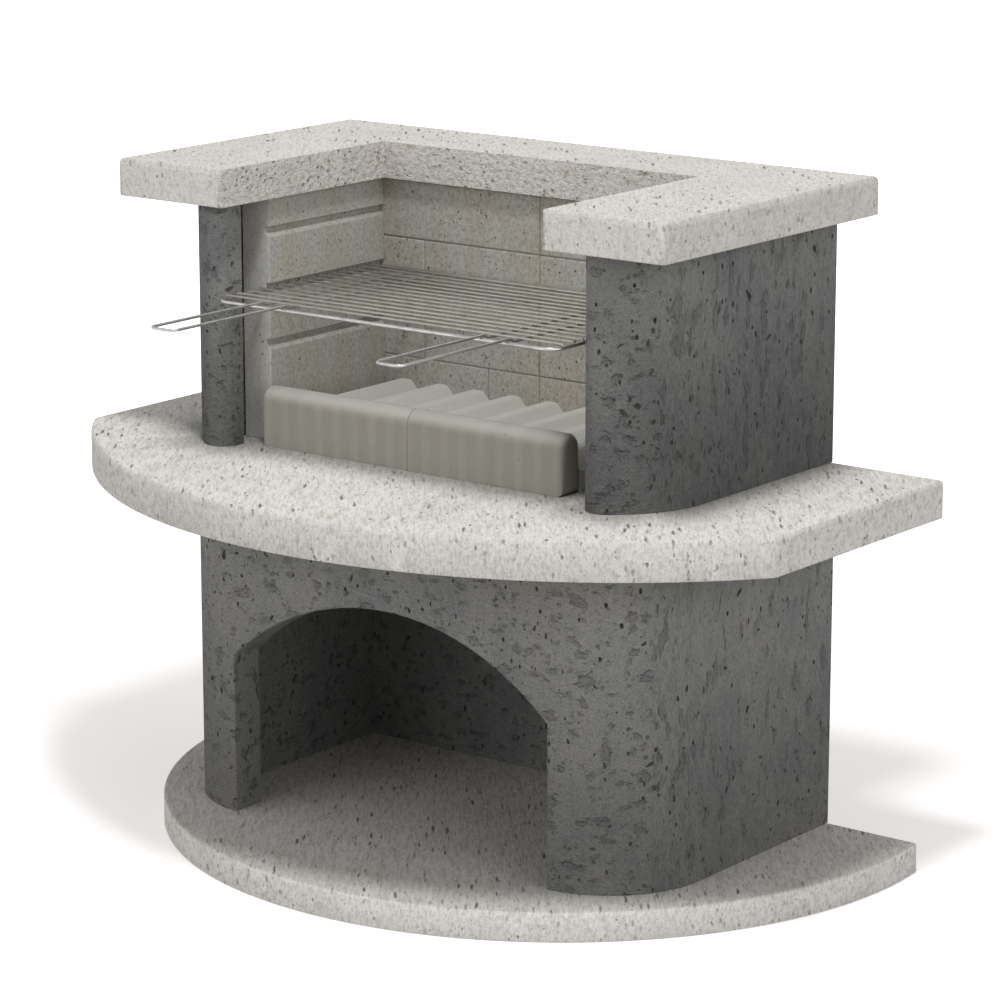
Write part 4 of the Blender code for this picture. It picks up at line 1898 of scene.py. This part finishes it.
@dataclass
class Lining:
    """Firebrick: two grooved side slabs and a coursed back."""

    groove_count: int = 3
    top_height: float = 0.290
    pitch: float = 0.076
    mouth: float = 0.014
    depth: float = 0.007
    lip_rise: float = 0.007
    arris: float = 0.0009
    chamfer: float = 0.0025
    edge_steps: int = 2
    facing: float = 0.9
    pinholes: AirHoles = AirHoles(2900, 0.0012, 0.0036, small_bias=2.4, raggedness=0.5)
    slab_pinholes: AirHoles = AirHoles(1500, 0.0012, 0.0032, small_bias=2.4, raggedness=0.5)

    def build(self, shop: Workshop) -> None:
        """Build and dress the slabs and bricks.

        Args:
            shop: Where pieces are made.
        """
        for side in Side:
            self.build_slab(shop, side)
        for name in nodes_named("back_brick"):
            self.build_brick(shop, name)

    def build_slab(self, shop: Workshop, side: Side) -> None:
        """Build one side slab, with pinholes where it faces the fire and the front.

        Args:
            shop: Where pieces are made.
            side: The side that it lines.
        """
        name = f"{side.name.lower()}_lining"
        bm = self.slab(*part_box("right_lining"))
        if side is Side.LEFT:
            mirrored(bm)
        obj = shop.piece(f"{name}_brick", bm, SLAB_BRICK, BRICK_HOLES)

        def shows(middle: Vector, normal: Vector) -> bool:
            """Whether a face of the slab can be seen."""
            return -normal.x * side.value > self.facing or normal.y < -self.facing

        shop.drilled(obj, name, ((self.slab_pinholes, shows),))
        shop.hand_over(obj, [name])

    def slab(self, low: Vector, high: Vector) -> bmesh.types.BMesh:
        """The right side slab, with its grooves.

        Args:
            low: Lowest corner of its node.
            high: Highest corner of its node.

        Returns:
            The solid.
        """
        front = low.y
        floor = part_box("table_plate")[1].z
        contour = Contour((high.x, front, low.z), (0, 1, 0)).line((low.x, front, low.z))
        for index in reversed(range(self.groove_count)):
            roof = floor + self.top_height - index * self.pitch
            lip = roof - self.mouth
            contour.line(
                (low.x, front, lip),
                (low.x + self.depth, front, lip + self.lip_rise),
                (low.x + self.depth, front, roof),
                (low.x, front, roof),
            )
        contour.line((low.x, front, high.z), (high.x, front, high.z))
        bm = contour.drawn_out((0, high.y - low.y, 0))
        round_over(bm, outward_corners(bm), self.arris, self.edge_steps)
        return bm

    def build_brick(self, shop: Workshop, name: str) -> None:
        """Build one brick of the back, rounded and pierced on its face towards the fire.

        Args:
            shop: Where pieces are made.
            name: Its node.
        """

        def faces_fire(middle: Vector, normal: Vector) -> bool:
            """Whether a face of the brick looks to the fire."""
            return normal.y < -self.facing

        bm = block(*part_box(name))
        face = next(face for face in bm.faces if face.normal.y < -self.facing)
        round_over(bm, face.edges[:], self.chamfer, self.edge_steps)
        obj = shop.piece(f"{name}_fired", bm, LINING_BRICK, BRICK_HOLES)
        shop.drilled(obj, name, ((self.pinholes, faces_fire),))
        shop.hand_over(obj, [name])


@dataclass
class Hearth:
    """Fired clay: two round-topped ember bars and two ridged tiles."""

    crown_steps: int = 32
    end_radius: float = 0.009
    end_steps: int = 6
    joint_radius: float = 0.0012
    joint_steps: int = 2
    slab: float = 0.028
    ridge_count: int = 4
    ridge_top: float = 0.018
    ridge_valley: float = 0.003
    ridge_radius: float = 0.0028
    ridge_steps: int = 4

    def build(self, shop: Workshop) -> None:
        """Build and dress the bars and tiles.

        Args:
            shop: Where pieces are made.
        """
        for side in Side:
            name = f"ember_bar_{side.name.lower()}"
            obj = shop.piece(f"{name}_clay", self.bar(side, *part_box(name)), HEARTH_CLAY)
            shop.hand_over(obj, [name])
        for name in nodes_named("fire_bed"):
            obj = shop.piece(f"{name}_clay", self.tile(*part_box(name)), BED_CLAY)
            shop.hand_over(obj, [name])

    def bar(self, side: Side, low: Vector, high: Vector) -> bmesh.types.BMesh:
        """One bar, with a well rounded outer end.

        Args:
            side: The side that it lies on.
            low: Lowest corner of its node.
            high: Highest corner of its node.

        Returns:
            The solid.
        """
        crown = (high.y - low.y) / 2
        contour = Contour((low.x, low.y, low.z), (1, 0, 0)).line((low.x, high.y, low.z))
        contour.line((low.x, high.y, high.z - crown))
        contour.arc((low.x, low.y + crown, high.z - crown), 180, self.crown_steps)
        bm = contour.drawn_out((high.x - low.x, 0, 0))
        inner, outer = (high.x, low.x) if side is Side.LEFT else (low.x, high.x)
        for x, radius, steps in (
            (inner, self.joint_radius, self.joint_steps),
            (outer, self.end_radius, self.end_steps),
        ):
            rim = [
                edge
                for edge in bm.edges
                if edge.calc_face_angle(0) > SHARP_EDGE
                and all(abs(v.co.x - x) < TOUCH for v in edge.verts)
            ]
            round_over(bm, rim, radius, steps)
        return bm

    def tile(self, low: Vector, high: Vector) -> bmesh.types.BMesh:
        """One tile: a slab with ridges that run from front to back.

        Args:
            low: Lowest corner of its node.
            high: Highest corner of its node.

        Returns:
            The solid.
        """
        valley = low.z + self.slab
        pitch = (high.x - low.x) / self.ridge_count
        foot = (pitch - self.ridge_valley) / 2
        contour = Contour((high.x, low.y, low.z), (0, 1, 0)).line((low.x, low.y, low.z))
        contour.line((low.x, low.y, valley))
        for index in range(self.ridge_count):
            middle = low.x + (index + 0.5) * pitch
            contour.line(
                (middle - foot, low.y, valley),
                (middle - self.ridge_top / 2, low.y, high.z),
                (middle + self.ridge_top / 2, low.y, high.z),
                (middle + foot, low.y, valley),
            )
        contour.line((high.x, low.y, valley))
        bm = contour.drawn_out((0, high.y - low.y, 0))
        crests = [
            edge
            for edge in bm.edges
            if all(v.co.z > high.z - TOUCH for v in edge.verts)
            and abs(edge.verts[0].co.y - edge.verts[1].co.y) > TOUCH
        ]
        round_over(bm, crests, self.ridge_radius, self.ridge_steps)
        return bm


class Wire:
    """A round wire drawn through straight runs and bends."""

    def __init__(
        self, start: Sequence[float], heading: Sequence[float], diameter: float, sides: int = 20
    ) -> None:
        """Start a wire with a ring square to its path.

        Args:
            start: Middle of the ring.
            heading: Direction of the path.
            diameter: Diameter of the wire.
            sides: Number of faces round it.
        """
        self.bm = bmesh.new()
        self.tip = Vector(start)
        self.radius = diameter / 2
        self.heading = Vector(heading).normalized()
        self.backward = -self.heading
        turn = self.heading.to_track_quat("Z", "Y").to_matrix().to_4x4()
        place = Matrix.Translation(self.tip) @ turn
        bmesh.ops.create_circle(
            self.bm, cap_ends=False, segments=sides, radius=self.radius, matrix=place
        )
        self.start = self.ring = self.bm.edges[:]

    def drawn_on(
        self, ring: list[bmesh.types.BMEdge]
    ) -> tuple[list[bmesh.types.BMVert], list[bmesh.types.BMEdge]]:
        """Extrude a ring of edges where it stands.

        Args:
            ring: The edges.

        Returns:
            The vertices and the edges of the new ring.
        """
        drawn = bmesh.ops.extrude_edge_only(self.bm, edges=ring)["geom"]
        verts = verts_in(drawn)
        held = set(verts)
        return verts, [edge for edge in edges_in(drawn) if all(v in held for v in edge.verts)]

    def run(self, length: float) -> "Wire":
        """Go straight on.

        Args:
            length: How far.

        Returns:
            The same wire.
        """
        verts, self.ring = self.drawn_on(self.ring)
        bmesh.ops.translate(self.bm, verts=verts, vec=self.heading * length)
        self.tip = self.tip + self.heading * length
        return self

    def bend(self, towards: Sequence[float], radius: float, degrees: float, steps: int) -> "Wire":
        """Bend on an arc.

        Args:
            towards: Direction, square to the heading, that the wire bends to.
            radius: Radius of the wire's middle line.
            degrees: Angle of the bend.
            steps: Number of facets.

        Returns:
            The same wire.
        """
        towards = Vector(towards).normalized()
        centre = self.tip + towards * radius
        axis = self.heading.cross(towards)
        verts = list(dict.fromkeys(vert for edge in self.ring for vert in edge.verts))
        drawn = bmesh.ops.spin(
            self.bm,
            geom=verts + self.ring,
            cent=centre,
            axis=axis,
            angle=math.radians(degrees),
            steps=steps,
            use_merge=False,
        )
        self.ring = edges_in(drawn["geom_last"])
        turn = Matrix.Rotation(math.radians(degrees), 3, axis)
        self.tip = centre + turn @ (self.tip - centre)
        self.heading = turn @ self.heading
        return self

    def upright_side(self, sign: int) -> Vector:
        """Direction square to the wire and to X: up with the sign 1, and down with -1."""
        across = self.heading.cross(Vector((1, 0, 0)))
        return across if across.z * sign > 0 else -across

    def domed(self, ring: list[bmesh.types.BMEdge], outward: Vector, steps: int = 4) -> None:
        """Close one end with a dome.

        Args:
            ring: The edges of the end.
            outward: Direction of the dome.
            steps: Number of facets from rim to top.
        """
        middle = sum((v.co for edge in ring for v in edge.verts), Vector()) / (2 * len(ring))
        for step in range(1, steps):
            angle = math.radians(90) * step / steps
            before = math.radians(90) * (step - 1) / steps
            verts, ring = self.drawn_on(ring)
            shrink = math.cos(angle) / math.cos(before)
            rise = self.radius * (math.sin(angle) - math.sin(before))
            for vert in verts:
                vert.co = middle + (vert.co - middle) * shrink
            bmesh.ops.translate(self.bm, verts=verts, vec=outward * rise)
            middle = middle + outward * rise
        bmesh.ops.edgeloop_fill(self.bm, edges=ring)

    def ended(self) -> bmesh.types.BMesh:
        """Close both ends with domes.

        Returns:
            The finished wire.
        """
        self.domed(self.start, self.backward)
        self.domed(self.ring, self.heading)
        return self.closed()

    def joined(self) -> bmesh.types.BMesh:
        """Close the wire on itself."""
        bmesh.ops.remove_doubles(self.bm, verts=self.bm.verts[:], dist=JOIN_REACH)
        return self.closed()

    def closed(self) -> bmesh.types.BMesh:
        """Turn the faces of the closed wire outward.

        Returns:
            The finished wire.
        """
        bmesh.ops.recalc_face_normals(self.bm, faces=self.bm.faces[:])
        settle(self.bm)
        return self.bm


@dataclass
class Grate:
    """The chromed grate: a ring, fifteen rods, two handle wires and their weld beads."""

    ring_wire: float = 0.005
    ring_corner: float = 0.020
    rod_wire: float = 0.003
    rod_sides: int = 16
    handle_wire: float = 0.004
    handle_bend: float = 0.012
    joggle_start: float = 0.0055
    joggle_length: float = 0.010
    joggle_bend: float = 0.004
    joggle_steps: int = 4
    bend_steps: int = 14
    bead_shape: tuple[float, float, float] = (0.0021, 0.0021, 0.0011)

    def build(self, shop: Workshop) -> None:
        """Build and dress the grate.

        Args:
            shop: Where pieces are made.
        """
        self.build_ring(shop)
        for name in nodes_named("grate_rod"):
            self.build_rod(shop, name)
        for name in nodes_named("grate_handle"):
            self.build_handle(shop, name)
        self.build_beads(shop)

    def dressed(
        self,
        shop: Workshop,
        name: str,
        bm: bmesh.types.BMesh,
        nodes: list[str],
        finish: ChromedWire = CHROME,
    ) -> None:
        """Chrome a part of the grate and hand it over.

        Args:
            shop: Where pieces are made.
            name: Name of the piece.
            bm: Its shape.
            nodes: The nodes that it stands for.
            finish: Its chrome.
        """
        obj = shop.piece(name, bm, finish)
        shop.hand_over(obj, nodes, "grate")

    def ring_line(self) -> tuple[Vector, Vector]:
        """The box of the ring's middle line.

        Returns:
            Its lowest and its highest corner.
        """
        low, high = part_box("grate_ring")
        half = Vector((self.ring_wire,) * 3) / 2
        return low + half, high - half

    def build_ring(self, shop: Workshop) -> None:
        """Build the outer wire.

        Args:
            shop: Where pieces are made.
        """
        low, high = self.ring_line()
        bend = self.ring_corner
        wire = Wire((low.x + bend, low.y, low.z), (1, 0, 0), self.ring_wire)
        width, depth = (high - low).xy
        turns = ((0, 1, 0), width), ((-1, 0, 0), depth), ((0, -1, 0), width), ((1, 0, 0), depth)
        for towards, length in turns:
            wire.run(length - 2 * bend).bend(towards, bend, 90, self.bend_steps)
        self.dressed(shop, "grate_ring_wire", wire.joined(), ["grate_ring"])

    def build_rod(self, shop: Workshop, name: str) -> None:
        """Build one rod.

        Args:
            shop: Where pieces are made.
            name: Its node.
        """
        low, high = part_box(name)
        middle = (low + high) / 2
        dome = self.rod_wire / 2
        start = (low.x + dome, middle.y, middle.z)
        wire = Wire(start, (1, 0, 0), self.rod_wire, self.rod_sides)
        wire.run(high.x - low.x - 2 * dome)
        self.dressed(shop, f"{name}_wire", wire.ended(), [name], DULL_CHROME)

    def build_handle(self, shop: Workshop, name: str) -> None:
        """Build one handle wire: in under the rods, over the ring, round the grip and back.

        Args:
            shop: Where pieces are made.
            name: Its node.
        """
        low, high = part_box(name)
        half = self.handle_wire / 2
        upper, lower = high.z - half, low.z + half
        slope = math.atan2(upper - lower, self.joggle_length)
        tangent = self.joggle_bend * math.tan(slope / 2)
        fall = math.hypot(upper - lower, self.joggle_length) - 2 * tangent
        joggle = self.joggle_bend, math.degrees(slope), self.joggle_steps
        near = self.ring_line()[0].y + self.joggle_start
        far = near + self.joggle_length
        rear = high.y - half
        wire = Wire((low.x + half, rear, lower), (0, -1, 0), self.handle_wire)
        wire.run(rear - far - tangent).bend((0, 0, 1), *joggle).run(fall)
        wire.bend(wire.upright_side(-1), *joggle)
        wire.run(wire.tip.y - low.y - half - self.handle_bend)
        wire.bend((1, 0, 0), self.handle_bend, 90, self.bend_steps)
        wire.run(high.x - low.x - 2 * half - 2 * self.handle_bend)
        wire.bend((0, 1, 0), self.handle_bend, 90, self.bend_steps)
        wire.run(near - tangent - wire.tip.y).bend((0, 0, -1), *joggle).run(fall)
        wire.bend(wire.upright_side(1), *joggle)
        wire.run(rear - wire.tip.y)
        self.dressed(shop, f"{name}_wire", wire.ended(), [name])

    def build_beads(self, shop: Workshop) -> None:
        """Build the small weld beads where rods cross the ring and the handle wires.

        Args:
            shop: Where pieces are made.
        """
        low, high = self.ring_line()
        half = self.handle_wire / 2
        bm = bmesh.new()
        for name in nodes_named("grate_rod"):
            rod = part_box(name)
            y = (rod[0].y + rod[1].y) / 2
            crossings = [low.x, high.x]
            if y > low.y + self.joggle_start + self.joggle_length:
                for handle in nodes_named("grate_handle"):
                    start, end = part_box(handle)
                    crossings += [start.x + half, end.x - half]
            for x in crossings:
                place = Matrix.Translation((x, y, rod[0].z))
                shape = place @ Matrix.Diagonal((*self.bead_shape, 1))
                bmesh.ops.create_icosphere(bm, subdivisions=2, radius=1, matrix=shape)
        self.dressed(shop, "grate_weld_beads", bm, [], DULL_CHROME)


@dataclass(frozen=True)
class Fill:
    """A broad, distant lamp: where it stands, in degrees, its strength and how wide it looks."""

    name: str
    right: float
    up: float
    power: float
    spread: float = 50

    def build(self) -> None:
        """Hang the lamp."""
        right, up = math.radians(self.right), math.radians(self.up)
        flat = math.cos(up)
        back = Vector((math.sin(right) * flat, -math.cos(right) * flat, math.sin(up)))
        lamp = bpy.data.lights.new(self.name, "SUN")
        lamp.energy = self.power
        lamp.angle = math.radians(self.spread)
        put_up(self.name, lamp).rotation_euler = back.to_track_quat("Z", "Y").to_euler()


@dataclass
class Studio:
    """Pale floor, white surround, a soft key lamp with two fills, and the photograph's camera."""

    eye: tuple[float, float, float] = (3.0760, -3.8717, 1.6702)
    aim: tuple[float, float, float] = (-0.0025, 0.1223, 0.4639)
    focal_length: float = 139.70
    floor_reach: float = 40.0
    floor_gap: float = 0.0005
    floor_grey: tuple[float, float, float, float] = (0.28, 0.28, 0.28, 1)
    floor_shown: tuple[float, float, float, float] = (0.90, 0.885, 0.88, 1)
    floor_glow: tuple[float, float, float, float] = (1, 0.965, 0.96, 1)
    near_glow: float = 0.39
    far_glow: float = 1.0
    bright_from: float = 1.3
    bright_at: float = 4.0
    sky_strength: float = 0.42
    key_place: tuple[float, float, float] = (0.70, -0.80, 3.10)
    key_power: float = 20.0
    key_radius: float = 0.22
    fills: tuple[Fill, ...] = (Fill("front_light", -18, 8, 1.15), Fill("side_light", 75, 8, 1.30))

    def build(self) -> None:
        """Set up the stage."""
        self.build_camera()
        self.build_floor()
        self.build_sky()
        self.build_key()
        for fill in self.fills:
            fill.build()
        bpy.context.scene.view_settings.view_transform = "Standard"

    def build_camera(self) -> None:
        """Put the camera where the photograph was taken from."""
        lens = bpy.data.cameras.new("camera")
        lens.lens = self.focal_length
        camera = put_up("camera", lens)
        camera.location = self.eye
        look = Vector(self.aim) - Vector(self.eye)
        camera.rotation_euler = look.to_track_quat("-Z", "Y").to_euler()
        bpy.context.scene.camera = camera

    def build_floor(self) -> None:
        """Lay a floor that looks white and keeps the object's shadow."""
        bm = bmesh.new()
        place = Matrix.Translation((0, 0, -self.floor_gap))
        bmesh.ops.create_grid(bm, x_segments=1, y_segments=1, size=self.floor_reach, matrix=place)
        mesh = bpy.data.meshes.new("floor")
        bm.to_mesh(mesh)
        bm.free()
        mesh.materials.append(self.floor_material())
        put_up("floor", mesh)

    def floor_material(self) -> bpy.types.Material:
        """Make it white where it is seen, more so farther out, and grey where it sends light back.

        Returns:
            The floor's material.
        """
        material = bpy.data.materials.new("floor")
        material.use_nodes = True
        floor = Wiring(material.node_tree)
        floor.tree.nodes.clear()
        place = floor.node("ShaderNodeTexCoord").outputs["Object"]
        feeds = {
            "Value": floor.length(place),
            "From Min": self.bright_from,
            "From Max": self.bright_at,
            "To Min": self.near_glow,
            "To Max": self.far_glow,
        }
        level = floor.node("ShaderNodeMapRange", feeds).outputs["Result"]
        feeds = {"Color": self.floor_glow, "Strength": level}
        glow = floor.node("ShaderNodeEmission", feeds).outputs[0]
        shown = floor.node("ShaderNodeBsdfDiffuse", {"Color": self.floor_shown}).outputs[0]
        bright = floor.node("ShaderNodeAddShader", {0: shown, 1: glow}).outputs[0]
        quiet = floor.node("ShaderNodeBsdfDiffuse", {"Color": self.floor_grey}).outputs[0]
        feeds = {0: floor.shown_rays(), 1: quiet, 2: bright}
        both = floor.node("ShaderNodeMixShader", feeds).outputs[0]
        floor.node("ShaderNodeOutputMaterial", {0: both})
        return material

    def build_sky(self) -> None:
        """A white surround that lights the object more softly than it looks."""
        world = bpy.data.worlds.new("sky")
        world.use_nodes = True
        bpy.context.scene.world = world
        sky = Wiring(world.node_tree)
        feeds = {"Value": sky.shown_rays(), "To Min": self.sky_strength, "To Max": 1.0}
        level = sky.node("ShaderNodeMapRange", feeds).outputs["Result"]
        background = sky.tree.nodes["Background"]
        sky.feed(background.inputs["Color"], WHITE)
        sky.feed(background.inputs["Strength"], level)

    def build_key(self) -> None:
        """Hang the key lamp, which shines evenly near and far."""
        lamp = bpy.data.lights.new("key_light", "POINT")
        lamp.energy = self.key_power
        lamp.shadow_soft_size = self.key_radius
        lamp.use_nodes = True
        light = Wiring(lamp.node_tree)
        even = light.node("ShaderNodeLightFalloff", {"Strength": 1.0}).outputs["Constant"]
        light.feed(light.tree.nodes["Emission"].inputs["Strength"], even)
        put_up("key_light", lamp).location = self.key_place


def corners(box: tuple[Vector, Vector]) -> list[list[float]]:
    """A box as plain lists of numbers."""
    return [list(corner) for corner in box]


def main() -> None:
    """Set up the stage and build each sub-assembly in turn."""
    logging.basicConfig(level=logging.INFO, format="%(name)s: %(message)s")
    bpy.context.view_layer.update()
    Studio().build()
    shop = Workshop()
    for assembly in (
        BasePlate(),
        LowerBody(),
        TablePlate(),
        UpperBody(),
        Lining(),
        Hearth(),
        CapPlate(),
        Grate(),
    ):
        LOG.info("building %s", type(assembly).__name__)
        assembly.build(shop)


if __name__ == "__main__":
    main()
